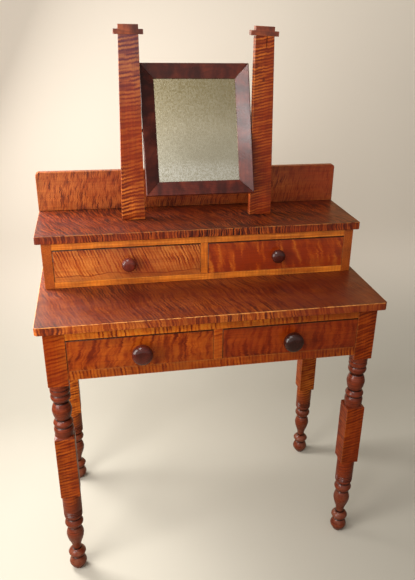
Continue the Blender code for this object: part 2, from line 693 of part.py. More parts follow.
def frame_member(upright, side):
    # A mitred frame member. Its section slopes down from the proud outer edge to the sight edge.
    front = -PIN_DEPTH
    rear = front + MIRROR_THICK
    lip = front + SIGHT_DEPTH + SIGHT_LIP
    outer = MIRROR_MEMBER
    section = [(0.0, front + SIGHT_DEPTH), (0.0, lip), (RABBET, lip), (RABBET, rear), (outer, rear),
               (outer, front + FRAME_EDGE / 2), (outer - FRAME_EDGE / 2, front), (outer - FRAME_EDGE, front)]
    mitre_gap = FIT / math.sqrt(2.0)
    reach = (MIRROR_HEIGHT if upright else MIRROR_WIDTH) / 2
    across = (MIRROR_WIDTH if upright else MIRROR_HEIGHT) / 2 - MIRROR_MEMBER
    shape = bmesh.new()
    ends = []
    for direction in (-1, 1):
        loop = []
        for out, depth in section:
            run = direction * (reach - MIRROR_MEMBER + out - mitre_gap)
            place = side * (across + out)
            loop.append(shape.verts.new((place, depth, run) if upright else (run, depth, place)))
        ends.append(loop)
    count = len(section)
    for here in range(count):
        after = (here + 1) % count
        shape.faces.new((ends[0][here], ends[0][after], ends[1][after], ends[1][here]))
    shape.faces.new(ends[0])
    shape.faces.new(ends[1])
    return shape


def build_mirror(frame_look, glass_look, back_look, pin_look):
    pivot = empty("mirror_pivot", PIVOT, -MIRROR_TILT)
    half = MIRROR_WIDTH / 2
    members = {"mirror_rail_top": (False, 1), "mirror_rail_bottom": (False, -1),
               "mirror_stile_left": (True, -1), "mirror_stile_right": (True, 1)}
    for name, (upright, side) in members.items():
        made = finish(name, frame_member(upright, side), frame_look[name])
        if upright:
            hole = cylinder(0, side * (half - PIN_IN_FRAME - FIT), side * (half + CUT_MARGIN),
                            PIN_RADIUS + FIT, PIN_SIDES)
            cut(made, hole)
            name = "mirror_pin_" + ("right" if side > 0 else "left")
            pin = cylinder(0, side * (half - PIN_IN_FRAME), side * (POST_INNER + PIN_IN_POST), PIN_RADIUS,
                           PIN_SIDES)
            finish(name, pin, pin_look[name], pivot)
        made.parent = pivot
    wide = half - MIRROR_MEMBER + RABBET - FIT
    tall = MIRROR_HEIGHT / 2 - MIRROR_MEMBER + RABBET - FIT
    glass_front = -PIN_DEPTH + SIGHT_DEPTH + SIGHT_LIP + FIT
    glass_rear = glass_front + GLASS_THICK
    finish("mirror_glass", box((-wide, glass_front, -tall), (wide, glass_rear, tall)), glass_look, pivot)
    board_rear = -PIN_DEPTH + MIRROR_THICK
    board = box((-wide, glass_rear + FIT, -tall), (wide, board_rear, tall))
    finish("mirror_backboard", board, back_look, pivot)


class Looks(dict):
    # Gives every piece a material of its own, made when it is first asked for.
    def __init__(self, colour, roughness, metallic=0.0):
        super().__init__()
        self.values_used = (colour, roughness, metallic)

    def __missing__(self, name):
        self[name] = material(name, *self.values_used)
        return self[name]


def main():
    for old in list(bpy.data.objects):
        bpy.data.objects.remove(old)
    maple = Looks((0.27, 0.075, 0.018), 0.28)
    rail_look = Looks((0.33, 0.105, 0.026), 0.32)
    cap_look = Looks((0.20, 0.045, 0.014), 0.30)
    frame_look = Looks((0.055, 0.014, 0.010), 0.22)
    knob_look = Looks((0.075, 0.018, 0.010), 0.20)
    pine = Looks((0.42, 0.24, 0.10), 0.65)
    iron = Looks((0.10, 0.09, 0.08), 0.45, 1.0)
    silver = Looks((0.62, 0.60, 0.48), 0.08, 1.0)

    build_stand(maple, pine)
    upper_top = build_case(maple, rail_look, pine)
    drawers = {}
    box_boards = ("side_left", "side_right", "back", "bottom")
    for name in ("lower_left_drawer", "lower_right_drawer", "upper_left_drawer", "upper_right_drawer"):
        drawers[name] = {part: pine[name + "_" + part] for part in box_boards}
        drawers[name]["front"] = maple[name + "_front"]
        drawers[name]["knob"] = knob_look[name + "_knob"]
    build_drawers(drawers)
    build_posts(upper_top, maple, cap_look)
    build_mirror(frame_look, silver["mirror_glass"], pine["mirror_backboard"], iron)
    triangles = 0
    for item in bpy.data.objects:
        if item.type == 'MESH':
            item.data.calc_loop_triangles()
            triangles += len(item.data.loop_triangles)
    print("pieces", sum(item.type == 'MESH' for item in bpy.data.objects), "triangles", triangles)


main()
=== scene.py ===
import math

import bmesh
import bpy
from mathutils import Matrix, Vector, noise


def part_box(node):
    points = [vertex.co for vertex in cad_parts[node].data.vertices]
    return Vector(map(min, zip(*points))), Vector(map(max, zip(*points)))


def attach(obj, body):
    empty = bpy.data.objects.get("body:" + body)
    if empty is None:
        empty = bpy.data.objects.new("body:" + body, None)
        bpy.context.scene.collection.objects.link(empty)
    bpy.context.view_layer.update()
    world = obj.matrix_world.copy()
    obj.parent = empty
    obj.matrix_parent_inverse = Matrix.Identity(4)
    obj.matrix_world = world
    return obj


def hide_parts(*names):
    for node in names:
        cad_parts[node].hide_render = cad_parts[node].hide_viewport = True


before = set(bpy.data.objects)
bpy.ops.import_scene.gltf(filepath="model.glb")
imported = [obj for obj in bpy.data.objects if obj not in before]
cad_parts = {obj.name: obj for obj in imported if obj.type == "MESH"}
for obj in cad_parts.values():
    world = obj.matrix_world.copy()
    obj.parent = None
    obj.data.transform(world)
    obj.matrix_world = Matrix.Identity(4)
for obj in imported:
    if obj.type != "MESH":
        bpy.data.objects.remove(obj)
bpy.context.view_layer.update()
print("frame loaded,", len(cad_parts), "solids")


# hand tools: picking, editing and finishing a piece

cadCopy = {"merge": 0.00002, "flat": 0.6}   # metres and degrees


def clearPick():
    if bpy.context.object and bpy.context.object.mode != "OBJECT":
        bpy.ops.object.mode_set(mode="OBJECT")
    bpy.ops.object.select_all(action="DESELECT")


def hold(piece):
    clearPick()
    piece.select_set(True)
    bpy.context.view_layer.objects.active = piece


def openMesh(piece, kind="EDGE"):
    hold(piece)
    bpy.ops.object.mode_set(mode="EDIT")
    bpy.ops.mesh.select_mode(type=kind)


def closeMesh():
    bpy.ops.object.mode_set(mode="OBJECT")


def pickAll():
    bpy.ops.mesh.select_all(action="SELECT")


def pickWhere(piece, test, kind="EDGE"):
    # selects the edges or faces that pass a test of place or normal
    bpy.ops.mesh.select_mode(type=kind)
    bpy.ops.mesh.select_all(action="DESELECT")
    shape = bmesh.from_edit_mesh(piece.data)
    for part in shape.faces if kind == "FACE" else shape.edges:
        part.select_set(bool(test(part)))
    shape.select_flush_mode()
    bmesh.update_edit_mesh(piece.data)


def edgeMiddle(edge):
    return (edge.verts[0].co + edge.verts[1].co) / 2


def edgeRun(edge):
    return (edge.verts[1].co - edge.verts[0].co).normalized()


def block(name, low, high):
    # a cube at its size and place, ready to be shaped
    clearPick()
    low, high = Vector(low), Vector(high)
    bpy.ops.mesh.primitive_cube_add(size=1, location=(low + high) / 2)
    piece = bpy.context.object
    piece.name = name
    piece.scale = high - low
    bpy.ops.object.transform_apply(location=True, rotation=True, scale=True)
    return piece


def linked(name, data):
    made = bpy.data.objects.new(name, data)
    bpy.context.scene.collection.objects.link(made)
    return made


def applyTool(piece, kind, **values):
    hold(piece)
    bpy.ops.object.modifier_add(type=kind)
    tool = piece.modifiers[-1]
    for key, value in values.items():
        setattr(tool, key, value)
    bpy.ops.object.modifier_apply(modifier=tool.name)


def fromFrame(node, name):
    # a merged copy of a solid, with its flat faces whole again
    piece = linked(name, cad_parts[node].data.copy())
    piece.data.materials.clear()
    openMesh(piece, "VERT")
    bpy.ops.mesh.customdata_custom_splitnormals_clear()
    pickAll()
    bpy.ops.mesh.remove_doubles(threshold=cadCopy["merge"])
    bpy.ops.mesh.dissolve_limited(angle_limit=math.radians(cadCopy["flat"]))
    closeMesh()
    return piece


def easeEdges(piece, width, segments=2, angle=50):
    applyTool(piece, "BEVEL", width=width, segments=segments, limit_method="ANGLE",
              angle_limit=math.radians(angle), use_clamp_overlap=True)


def smoothOff(piece, angle=40):
    hold(piece)
    bpy.ops.object.shade_smooth_by_angle(angle=math.radians(angle))
    applyTool(piece, "WEIGHTED_NORMAL", keep_sharp=True, weight=80)


def easedCopy(node, name, width, segments=2):
    piece = fromFrame(node, name)
    easeEdges(piece, width, segments)
    smoothOff(piece)
    return piece


def join(piece, other, operation):
    # cuts another piece away or welds it on
    applyTool(piece, "BOOLEAN", operation=operation, object=other, solver="EXACT")
    bpy.data.objects.remove(other)


def settle(piece, look, body, slotName, *nodes):
    piece.data.materials.clear()
    piece.data.materials.append(look)
    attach(piece, body)
    if nodes:
        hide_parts(*nodes)


# node tools

def tone(red, green, blue):
    # a screen colour as the renderer wants it
    def linear(value):
        value /= 255
        return value / 12.92 if value <= 0.04045 else ((value + 0.055) / 1.055) ** 2.4
    return (linear(red), linear(green), linear(blue), 1.0)


def feed(tree, socket, value):
    if isinstance(value, bpy.types.NodeSocket):
        tree.links.new(value, socket)
    else:
        socket.default_value = value


def work(tree, kind, operation, terms):
    made = tree.nodes.new(kind)
    made.operation = operation
    for socket, term in zip(made.inputs, terms):
        feed(tree, socket, term)
    return made.outputs


def calc(tree, operation, *terms):
    return work(tree, "ShaderNodeMath", operation, terms)[0]


def reckon(tree, operation, *terms):
    # the same for vectors
    outputs = work(tree, "ShaderNodeVectorMath", operation, terms)
    return outputs["Value" if operation in ("DOT_PRODUCT", "LENGTH") else "Vector"]


def split(tree, place):
    made = tree.nodes.new("ShaderNodeSeparateXYZ")
    feed(tree, made.inputs[0], place)
    return made.outputs


def cloud(tree, place, scale, detail=2.0, rough=0.5):
    made = tree.nodes.new("ShaderNodeTexNoise")
    feed(tree, made.inputs["Vector"], reckon(tree, "MULTIPLY", place, scale))
    made.inputs["Scale"].default_value = 1.0
    made.inputs["Detail"].default_value = detail
    made.inputs["Roughness"].default_value = rough
    return made.outputs["Fac"]


def ease(tree, value, low, high, start=0.0, end=1.0):
    made = tree.nodes.new("ShaderNodeMapRange")
    made.interpolation_type = "SMOOTHSTEP"
    for label, term in (("Value", value), ("From Min", low), ("From Max", high),
                        ("To Min", start), ("To Max", end)):
        feed(tree, made.inputs[label], term)
    return made.outputs["Result"]


def patches(tree, place, scale, detail, rough, *cut):
    # clouds cut off softly between two levels
    return ease(tree, cloud(tree, place, scale, detail, rough), *cut)


def mixValue(tree, share, first, second):
    made = tree.nodes.new("ShaderNodeMix")
    for index, term in ((0, share), (2, first), (3, second)):
        feed(tree, made.inputs[index], term)
    return made.outputs[0]


def blend(tree, share, first, second, mode="MIX"):
    made = tree.nodes.new("ShaderNodeMix")
    made.data_type = "RGBA"
    made.blend_type = mode
    for index, term in ((0, share), (6, first), (7, second)):
        feed(tree, made.inputs[index], term)
    return made.outputs[2]


def tint(tree, colour, mask, share, shade):
    # lays a shade over a colour where the mask is, at a share of its strength
    return blend(tree, calc(tree, "MULTIPLY", mask, share), colour, tone(*shade))


def ramp(tree, value, stops):
    made = tree.nodes.new("ShaderNodeValToRGB")
    feed(tree, made.inputs[0], value)
    bar = made.color_ramp
    bar.elements[0].position, bar.elements[0].color = stops[0]
    bar.elements[1].position, bar.elements[1].color = stops[-1]
    for place, colour in stops[1:-1]:
        bar.elements.new(place).color = colour
    return made.outputs["Color"]


def newGroup(name, inputs, outputs):
    tree = bpy.data.node_groups.new(name, "ShaderNodeTree")
    for label, value in inputs.items():
        kind = "NodeSocketVector" if isinstance(value, tuple) else "NodeSocketFloat"
        socket = tree.interface.new_socket(label, in_out="INPUT", socket_type=kind)
        socket.default_value = value
    for label in outputs:
        tree.interface.new_socket(label, in_out="OUTPUT", socket_type="NodeSocketFloat")
    give = tree.nodes.new("NodeGroupInput").outputs
    take = tree.nodes.new("NodeGroupOutput").inputs
    return tree, give, take


def useGroup(tree, group, **values):
    made = tree.nodes.new("ShaderNodeGroup")
    made.node_tree = group
    for label, value in values.items():
        feed(tree, made.inputs[label[0].upper() + label[1:]], value)
    return made.outputs


# effects that several finishes share
# a noise is given as its scale on each axis, detail and roughness, then the levels that cut it

curlNoise = {
    "Wander": ((4.0, 11.0, 11.0), 1.0, 0.5), "Broken": ((24.0, 60.0, 60.0), 2.0, 0.5),
    "Feather": ((14.0, 330.0, 330.0), 3.0, 0.6), "loose": ((1.0, 1.0, 1.0), 3.0, 0.55),
    "gaps": ((0.8, 2.6, 2.6), 2.0, 0.5, 0.34, 0.58, 0.25, 1.0),
    "patch": ((7.0, 15.0, 15.0), 2.0, 0.5, 0.36, 0.64), "laneStep": 1.3, "looseSpread": 0.30,
}


def makeCurl(has):
    # tiger stripes: narrow dark bands across the grain that wander, break up and fade in patches
    tree, give, take = newGroup("curl figure", {
        "Place": (0.0, 0.0, 0.0), "Run": (1.0, 0.0, 0.0), "Pitch": 0.011, "Wander": 2.0, "Broken": 0.6,
        "Regular": 0.5, "Fade": 0.5, "Sharp": 1.8, "Depth": 1.7, "Feather": 0.3, "Ground": 0.40,
        "Break": 15.0}, ["Stripe"])
    place = give["Place"]
    phase = calc(tree, "DIVIDE", reckon(tree, "DOT_PRODUCT", place, give["Run"]), give["Pitch"])
    for amount in ("Wander", "Broken", "Feather"):
        sway = calc(tree, "SUBTRACT", cloud(tree, place, *has[amount]), 0.5)
        phase = calc(tree, "MULTIPLY_ADD", sway, give[amount], phase)
    wave = calc(tree, "SINE", calc(tree, "MULTIPLY", phase, 2 * math.pi))
    wave = calc(tree, "POWER", calc(tree, "MULTIPLY_ADD", wave, 0.5, 0.5), give["Sharp"])
    x, y, z = split(tree, place)
    lane = tree.nodes.new("ShaderNodeCombineXYZ")
    steps = (has["laneStep"], give["Break"], give["Break"])
    for socket, part, step in zip(lane.inputs, (phase, y, z), steps):
        feed(tree, socket, calc(tree, "MULTIPLY", part, step))
    loose = cloud(tree, lane.outputs[0], *has["loose"])
    loose = ease(tree, loose, give["Ground"], calc(tree, "ADD", give["Ground"], has["looseSpread"]))
    gaps = patches(tree, lane.outputs[0], *has["gaps"])
    both = mixValue(tree, give["Regular"], loose, calc(tree, "MULTIPLY", wave, gaps))
    patch = patches(tree, place, *has["patch"])
    strength = calc(tree, "MULTIPLY_ADD", calc(tree, "SUBTRACT", patch, 1.0), give["Fade"], 1.0)
    band = calc(tree, "MULTIPLY", calc(tree, "MULTIPLY", both, strength), give["Depth"])
    feed(tree, take["Stripe"], calc(tree, "MAXIMUM", calc(tree, "SUBTRACT", 1.0, band), 0.0))
    return tree


grainNoise = {
    "streak": ((9.0, 330.0, 330.0), 4.0, 0.6, 0.32, 0.70), "bend": ((2.2, 9.0, 9.0), 2.0, 0.5),
    "pore": ((60.0, 1400.0, 1400.0), 2.0, 0.5, 0.60, 0.74), "lean": 0.45, "sway": 9.0, "late": 2.2,
}


def makeGrain(has):
    # growth lines, fine streaks along the grain and pores
    tree, give, take = newGroup("wood grain", {
        "Place": (0.0, 0.0, 0.0), "Rings": 60.0, "Warp": 1.0}, ["Streak", "Ring", "Pore"])
    place = give["Place"]
    bend = calc(tree, "MULTIPLY", cloud(tree, place, *has["bend"]), give["Warp"])
    x, y, z = split(tree, place)
    height = calc(tree, "MULTIPLY_ADD", y, has["lean"], z)
    turn = calc(tree, "MULTIPLY_ADD", height, give["Rings"], calc(tree, "MULTIPLY", bend, has["sway"]))
    feed(tree, take["Streak"], patches(tree, place, *has["streak"]))
    feed(tree, take["Ring"], calc(tree, "POWER", calc(tree, "FRACT", turn), has["late"]))
    feed(tree, take["Pore"], patches(tree, place, *has["pore"]))
    return tree


wearNoise = {
    "rub": ((70.0, 70.0, 70.0), 4.0, 0.62), "rubMiddle": 0.47, "rubSwing": 3.2, "rubLeast": 0.75,
    "bare": 0.25, "headGap": (0.0026, 0.0010), "sideGap": (0.0022, 0.0008), "sideShare": 0.75,
    "soil": ((22.0, 22.0, 22.0), 3.0, 0.6, 0.35, 0.68), "soilBand": (0.030, 0.002),
}


def makeWear(has):
    # how near a point is to the edge of its board: rubbed arrises, soil in a wider band, and painted shade
    # along the top and left edges that stands for the shadow in the gap round a drawer
    tree, give, take = newGroup("edge wear and gap shade", {
        "Place": (0.0, 0.0, 0.0), "Low": (0.0, 0.0, 0.0), "High": (1.0, 1.0, 1.0),
        "Reach": 0.003}, ["Wear", "Soil", "GapShade"])
    place = give["Place"]
    nearLow = reckon(tree, "ABSOLUTE", reckon(tree, "SUBTRACT", place, give["Low"]))
    nearHigh = reckon(tree, "ABSOLUTE", reckon(tree, "SUBTRACT", give["High"], place))
    x, y, z = split(tree, reckon(tree, "MINIMUM", nearLow, nearHigh))
    inner = calc(tree, "MINIMUM", calc(tree, "MAXIMUM", x, y), z)
    gap = calc(tree, "MAXIMUM", calc(tree, "MINIMUM", x, y), inner)   # the second smallest of the three
    rub = calc(tree, "SUBTRACT", cloud(tree, place, *has["rub"]), has["rubMiddle"])
    uneven = calc(tree, "ADD", calc(tree, "MULTIPLY", rub, has["rubSwing"]), has["rubLeast"])
    reach = calc(tree, "MULTIPLY", give["Reach"], uneven)
    feed(tree, take["Wear"], ease(tree, gap, reach, calc(tree, "MULTIPLY", reach, has["bare"])))
    # painted shade: darkest along the top edge and fainter along the left edge, where the gap round a drawer
    # falls in shadow
    head = ease(tree, split(tree, nearHigh)[2], *has["headGap"])
    side = ease(tree, split(tree, nearLow)[0], *has["sideGap"])
    side = calc(tree, "MULTIPLY", side, has["sideShare"])
    feed(tree, take["GapShade"], calc(tree, "MAXIMUM", head, side))
    band = ease(tree, gap, *has["soilBand"])
    feed(tree, take["Soil"], calc(tree, "MULTIPLY", band, patches(tree, place, *has["soil"])))
    return tree


varnishNoise = {
    "haze": ((11.0, 11.0, 11.0), 5.0, 0.62, 0.34, 0.68), "dent": ((95.0, 95.0, 95.0), 2.0, 0.4, 0.26, 0.38),
    "ripple": ((30.0, 30.0, 30.0), 1.0, 0.4),
}


def makeVarnish(has):
    # rubbing, old brush marks and small dents in the varnish
    tree, give, take = newGroup("old varnish", {"Place": (0.0, 0.0, 0.0)}, ["Haze", "Dent", "Ripple"])
    feed(tree, take["Haze"], patches(tree, give["Place"], *has["haze"]))
    feed(tree, take["Dent"], patches(tree, give["Place"], *has["dent"]))
    feed(tree, take["Ripple"], cloud(tree, give["Place"], *has["ripple"]))
    return tree


curlFigure = makeCurl(curlNoise)
woodGrain = makeGrain(grainNoise)
edgeWearAndShade = makeWear(wearNoise)
oldVarnish = makeVarnish(varnishNoise)
print("shared effects ready")


# finishes

grainAlong = {"x": (0.0, 0.0, 0.0), "y": (0.0, 0.0, -math.pi / 2), "z": (0.0, math.pi / 2, 0.0)}


def startLook(name):
    look = bpy.data.materials.new(name)
    look.use_nodes = True
    tree = look.node_tree
    shader = tree.nodes["Principled BSDF"]
    place = tree.nodes.new("ShaderNodeTexCoord").outputs["Object"]
    return look, tree, shader, place


def turnedTo(tree, place, axis):
    # turns a pattern so that its grain runs along an axis
    made = tree.nodes.new("ShaderNodeMapping")
    feed(tree, made.inputs["Vector"], place)
    made.inputs["Rotation"].default_value = grainAlong[axis]
    return made.outputs[0]


def useGrain(tree, board, has):
    return useGroup(tree, woodGrain, place=board, rings=has["rings"], warp=has["warp"])


def useWear(tree, place, low, high, has):
    return useGroup(tree, edgeWearAndShade, place=place, low=tuple(low), high=tuple(high), reach=has["reach"])


def figureTones(tree, value, has):
    names = ("dark", "body", "light")
    return ramp(tree, value, [(stop, tone(*has[name])) for stop, name in zip(has["stops"], names)])


def addRough(tree, shader, mask, amount, base):
    feed(tree, shader.inputs["Roughness"], calc(tree, "MULTIPLY_ADD", mask, amount, base))


def addPolish(tree, shader, shine, coat, coatRough):
    feed(tree, shader.inputs["Specular IOR Level"], shine)
    feed(tree, shader.inputs["Coat Weight"], coat)
    feed(tree, shader.inputs["Coat Roughness"], coatRough)


def addBump(tree, shader, height, strength, distance):
    bump = tree.nodes.new("ShaderNodeBump")
    bump.inputs["Strength"].default_value = strength
    bump.inputs["Distance"].default_value = distance
    feed(tree, bump.inputs["Height"], height)
    feed(tree, shader.inputs["Normal"], bump.outputs[0])


mapleFinish = {
    "dark": (96, 25, 3), "body": (156, 60, 9), "light": (190, 90, 20), "stops": (0.05, 0.55, 1.0),
    "blush": (140, 44, 6), "worn": (222, 146, 72), "soil": (42, 11, 3),
    # upper and topShadeShare paint an upper face darker, as painted shade
    "upper": (205, 190, 175), "topShadeShare": 0.0,
    "grain": "x", "rings": 45.0, "warp": 1.2, "run": (1.0, 0.0, 0.0), "pitch": 0.011, "wander": 2.4,
    "broken": 0.5, "regular": 0.45, "fade": 0.6, "sharp": 2.0, "depth": 1.5, "feather": 0.35, "ground": 0.40,
    "break": 15.0, "growth": None, "knot": None, "paintedSheen": None,
    "reach": 0.003, "wear": 0.12, "soilShare": 0.30, "grime": 0.0, "gloss": 0.30, "shine": 0.25, "coat": 0.15,
}

curlSettings = ("run", "pitch", "wander", "broken", "regular", "fade", "sharp", "depth", "feather", "ground",
                "break")

mapleLayers = {
    "blush": ((3.0, 7.0, 7.0), 3.0, 0.5, 0.34, 0.70, 0.0, 0.75),
    "streak": [(0.0, (0.80, 0.76, 0.70, 1.0)), (1.0, (1.06, 1.06, 1.06, 1.0))], "streakShare": 0.75,
    "ringShare": 0.16, "facingUp": (0.4, 0.9), "hazeRough": 0.16, "wearRough": 0.12, "coatRough": 0.14,
    "stripeBump": 0.5, "streakBump": 0.25, "rippleBump": 1.2, "bump": 0.25, "bumpDepth": 0.0005,
    "growthSway": ((11.0, 1.0, 1.0), 2.0, 0.5), "growthSwing": 0.030,
    "growthBelow": (0.004, -0.004, 0.0, 0.75), "growthCalm": 0.80, "growthLine": (0.0020, 0.0004, 0.0, 0.65),
    "knotSquash": (1.0, 0.0, 0.7), "knotHeart": (0.0055, 0.0015, 0.0, 0.85),
    # sheenVeil and sheenHaze paint a pale bluish sheen, as painted reflection
    "sheenVeil": (208, 232, 255), "sheenHaze": (24, 40, 58),
}

turnedStain = {
    "stain": (76, 25, 13), "stainLight": (142, 59, 30), "scuffed": (150, 92, 68), "quirk": (24, 8, 5),
    "lathe": ((5.0, 5.0, 420.0), 3.0, 0.65, 0.34, 0.66), "blotch": ((55.0, 55.0, 38.0), 3.0, 0.6, 0.38, 0.64),
    "blotchShare": 0.45, "scuffHeight": (0.30, 0.03), "scuffShare": 0.5, "cover": 0.92,
    "smoother": -0.08, "coat": 0.22, "ridges": 0.6,
}


def attribute(tree, name):
    made = tree.nodes.new("ShaderNodeAttribute")
    made.attribute_name = name
    return made.outputs["Fac"]


def stainTurning(tree, place, colour, share, has):
    # the turnings have taken up a darker stain, ringed by the lathe and black in the quirks
    lathe = patches(tree, place, *has["lathe"])
    blotch = patches(tree, place, *has["blotch"])
    brown = blend(tree, lathe, tone(*has["stain"]), tone(*has["stainLight"]))
    brown = tint(tree, brown, blotch, has["blotchShare"], has["stain"])
    scuff = calc(tree, "MULTIPLY", ease(tree, split(tree, place)[2], *has["scuffHeight"]), blotch)
    brown = tint(tree, brown, scuff, has["scuffShare"], has["scuffed"])
    brown = blend(tree, attribute(tree, "hollow"), brown, tone(*has["quirk"]))
    return blend(tree, calc(tree, "MULTIPLY", share, has["cover"]), colour, brown), lathe


def mapleLook(name, low, high, turned=None, **changes):
    has = {**mapleFinish, **changes}
    lay = mapleLayers
    look, tree, shader, place = startLook(name)
    board = turnedTo(tree, place, has["grain"])
    curl = useGroup(tree, curlFigure, place=board, **{key: has[key] for key in curlSettings})
    grain = useGrain(tree, board, has)
    edge = useWear(tree, place, low, high, has)
    varnish = useGroup(tree, oldVarnish, place=place)
    height = split(tree, place)[2]
    stripe = curl["Stripe"]
    if has["growth"]:   # a dark growth line, below which the figure dies out
        sway = calc(tree, "SUBTRACT", cloud(tree, place, *lay["growthSway"]), 0.5)
        line = calc(tree, "MULTIPLY_ADD", sway, lay["growthSwing"], has["growth"])
        above = calc(tree, "SUBTRACT", height, line)
        stripe = mixValue(tree, ease(tree, above, *lay["growthBelow"]), stripe, lay["growthCalm"])
    colour = figureTones(tree, stripe, has)
    if has["growth"]:
        line = ease(tree, calc(tree, "ABSOLUTE", above), *lay["growthLine"])
        colour = blend(tree, line, colour, tone(*has["dark"]))
    if has["knot"]:   # a small pin knot, dark at the heart
        away = reckon(tree, "MULTIPLY", reckon(tree, "SUBTRACT", place, has["knot"]), lay["knotSquash"])
        heart = ease(tree, reckon(tree, "LENGTH", away), *lay["knotHeart"])
        colour = blend(tree, heart, colour, tone(*has["soil"]))
    colour = blend(tree, patches(tree, board, *lay["blush"]), colour, tone(*has["blush"]))
    colour = blend(tree, lay["streakShare"], colour, ramp(tree, grain["Streak"], lay["streak"]), "MULTIPLY")
    colour = tint(tree, colour, grain["Ring"], lay["ringShare"], has["dark"])
    colour = tint(tree, colour, edge["Soil"], has["soilShare"], has["soil"])
    if has["topShadeShare"]:   # painted shade: the upper face is painted darker than the edges
        facing = split(tree, tree.nodes.new("ShaderNodeNewGeometry").outputs["Normal"])[2]
        share = calc(tree, "MULTIPLY", ease(tree, facing, *lay["facingUp"]), has["topShadeShare"])
        colour = blend(tree, share, colour, tone(*has["upper"]), "MULTIPLY")
    if has["paintedSheen"]:   # painted sheen: the colour is veiled paler and bluer towards the upper end, between two heights
        share = ease(tree, height, *has["paintedSheen"])
        colour = blend(tree, share, colour, tone(*lay["sheenVeil"]), "MULTIPLY")
        colour = blend(tree, share, colour, tone(*lay["sheenHaze"]), "ADD")
    colour = tint(tree, colour, edge["Wear"], has["wear"], has["worn"])
    if has["grime"]:   # painted shade in the gap round a drawer, laid on in the soil colour
        colour = tint(tree, colour, edge["GapShade"], has["grime"], has["soil"])
    rough = calc(tree, "MULTIPLY_ADD", varnish["Haze"], lay["hazeRough"], has["gloss"])
    coat = has["coat"]
    bump = calc(tree, "MULTIPLY", grain["Streak"], lay["streakBump"])
    bump = calc(tree, "MULTIPLY_ADD", curl["Stripe"], lay["stripeBump"], bump)
    bump = calc(tree, "ADD", bump, varnish["Dent"])
    bump = calc(tree, "MULTIPLY_ADD", varnish["Ripple"], lay["rippleBump"], bump)
    if turned:
        share = attribute(tree, "turned")
        colour, lathe = stainTurning(tree, place, colour, share, turned)
        rough = calc(tree, "MULTIPLY_ADD", share, turned["smoother"], rough)
        coat = calc(tree, "MULTIPLY_ADD", share, turned["coat"], coat)
        bump = calc(tree, "MULTIPLY_ADD", calc(tree, "MULTIPLY", lathe, share), turned["ridges"], bump)
    feed(tree, shader.inputs["Base Color"], colour)
    addRough(tree, shader, edge["Wear"], lay["wearRough"], rough)
    addPolish(tree, shader, has["shine"], coat, lay["coatRough"])
    addBump(tree, shader, bump, lay["bump"], lay["bumpDepth"])
    return look


plainFinish = {
    "dark": (198, 98, 23), "body": (240, 142, 47), "worn": (222, 152, 80), "soil": (86, 32, 6),
    "grain": "x", "rings": 120.0, "warp": 0.7, "curl": {"pitch": 0.009, "wander": 1.5, "feather": 0.6},
    "curlShare": 0.25, "ringShare": 0.35, "soilShare": 0.40, "reach": 0.0025, "wear": 0.10,
    "gloss": 0.32, "hazeRough": 0.18, "shine": 0.35, "coat": 0.20, "coatRough": 0.16,
    "streakBump": 0.4, "bump": 0.30, "bumpDepth": 0.0005,
}


def plainLook(name, low, high, **changes):
    # straight-grained maple of the upper case, lighter and without the stripes
    has = {**plainFinish, **changes}
    look, tree, shader, place = startLook(name)
    board = turnedTo(tree, place, has["grain"])
    grain = useGrain(tree, board, has)
    edge = useWear(tree, place, low, high, has)
    varnish = useGroup(tree, oldVarnish, place=place)
    curl = useGroup(tree, curlFigure, place=board, **has["curl"])
    colour = blend(tree, grain["Streak"], tone(*has["dark"]), tone(*has["body"]))
    faint = calc(tree, "MULTIPLY_ADD", curl["Stripe"], -has["curlShare"], has["curlShare"])
    colour = blend(tree, faint, colour, tone(*has["soil"]))
    colour = tint(tree, colour, grain["Ring"], has["ringShare"], has["dark"])
    colour = tint(tree, colour, edge["Soil"], has["soilShare"], has["soil"])
    colour = tint(tree, colour, edge["Wear"], has["wear"], has["worn"])
    feed(tree, shader.inputs["Base Color"], colour)
    addRough(tree, shader, varnish["Haze"], has["hazeRough"], has["gloss"])
    addPolish(tree, shader, has["shine"], has["coat"], has["coatRough"])
    bump = calc(tree, "ADD", calc(tree, "MULTIPLY", grain["Streak"], has["streakBump"]), varnish["Dent"])
    addBump(tree, shader, bump, has["bump"], has["bumpDepth"])
    return look


darkFinish = {
    "dark": (38, 12, 9), "body": (78, 30, 20), "light": (104, 46, 30), "stops": (0.0, 0.55, 1.0),
    "worn": (132, 70, 48), "grain": "x", "rings": 90.0, "warp": 1.8,
    "plume": ((30.0, 16.0, 16.0), 4.0, 0.6, 0.32, 0.70), "ringShare": 0.45, "poreShare": 0.55,
    "reach": 0.002, "wear": 0.15, "gloss": 0.26, "hazeRough": 0.14, "shine": 0.5, "coat": 0.35,
    "coatRough": 0.10, "poreBump": -0.4, "rippleBump": 0.3, "bump": 0.10, "bumpDepth": 0.0003,
}


def darkLook(name, low, high, **changes):
    # mahogany, cap wood and stained knob wood: deep red brown with pores
    has = {**darkFinish, **changes}
    look, tree, shader, place = startLook(name)
    board = turnedTo(tree, place, has["grain"])
    grain = useGrain(tree, board, has)
    edge = useWear(tree, place, low, high, has)
    varnish = useGroup(tree, oldVarnish, place=place)
    colour = figureTones(tree, patches(tree, board, *has["plume"]), has)
    colour = tint(tree, colour, grain["Ring"], has["ringShare"], has["dark"])
    colour = tint(tree, colour, grain["Pore"], has["poreShare"], has["dark"])
    colour = tint(tree, colour, edge["Wear"], has["wear"], has["worn"])
    feed(tree, shader.inputs["Base Color"], colour)
    addRough(tree, shader, varnish["Haze"], has["hazeRough"], has["gloss"])
    addPolish(tree, shader, has["shine"], has["coat"], has["coatRough"])
    bump = calc(tree, "MULTIPLY", varnish["Ripple"], has["rippleBump"])
    bump = calc(tree, "MULTIPLY_ADD", grain["Pore"], has["poreBump"], bump)
    addBump(tree, shader, bump, has["bump"], has["bumpDepth"])
    return look


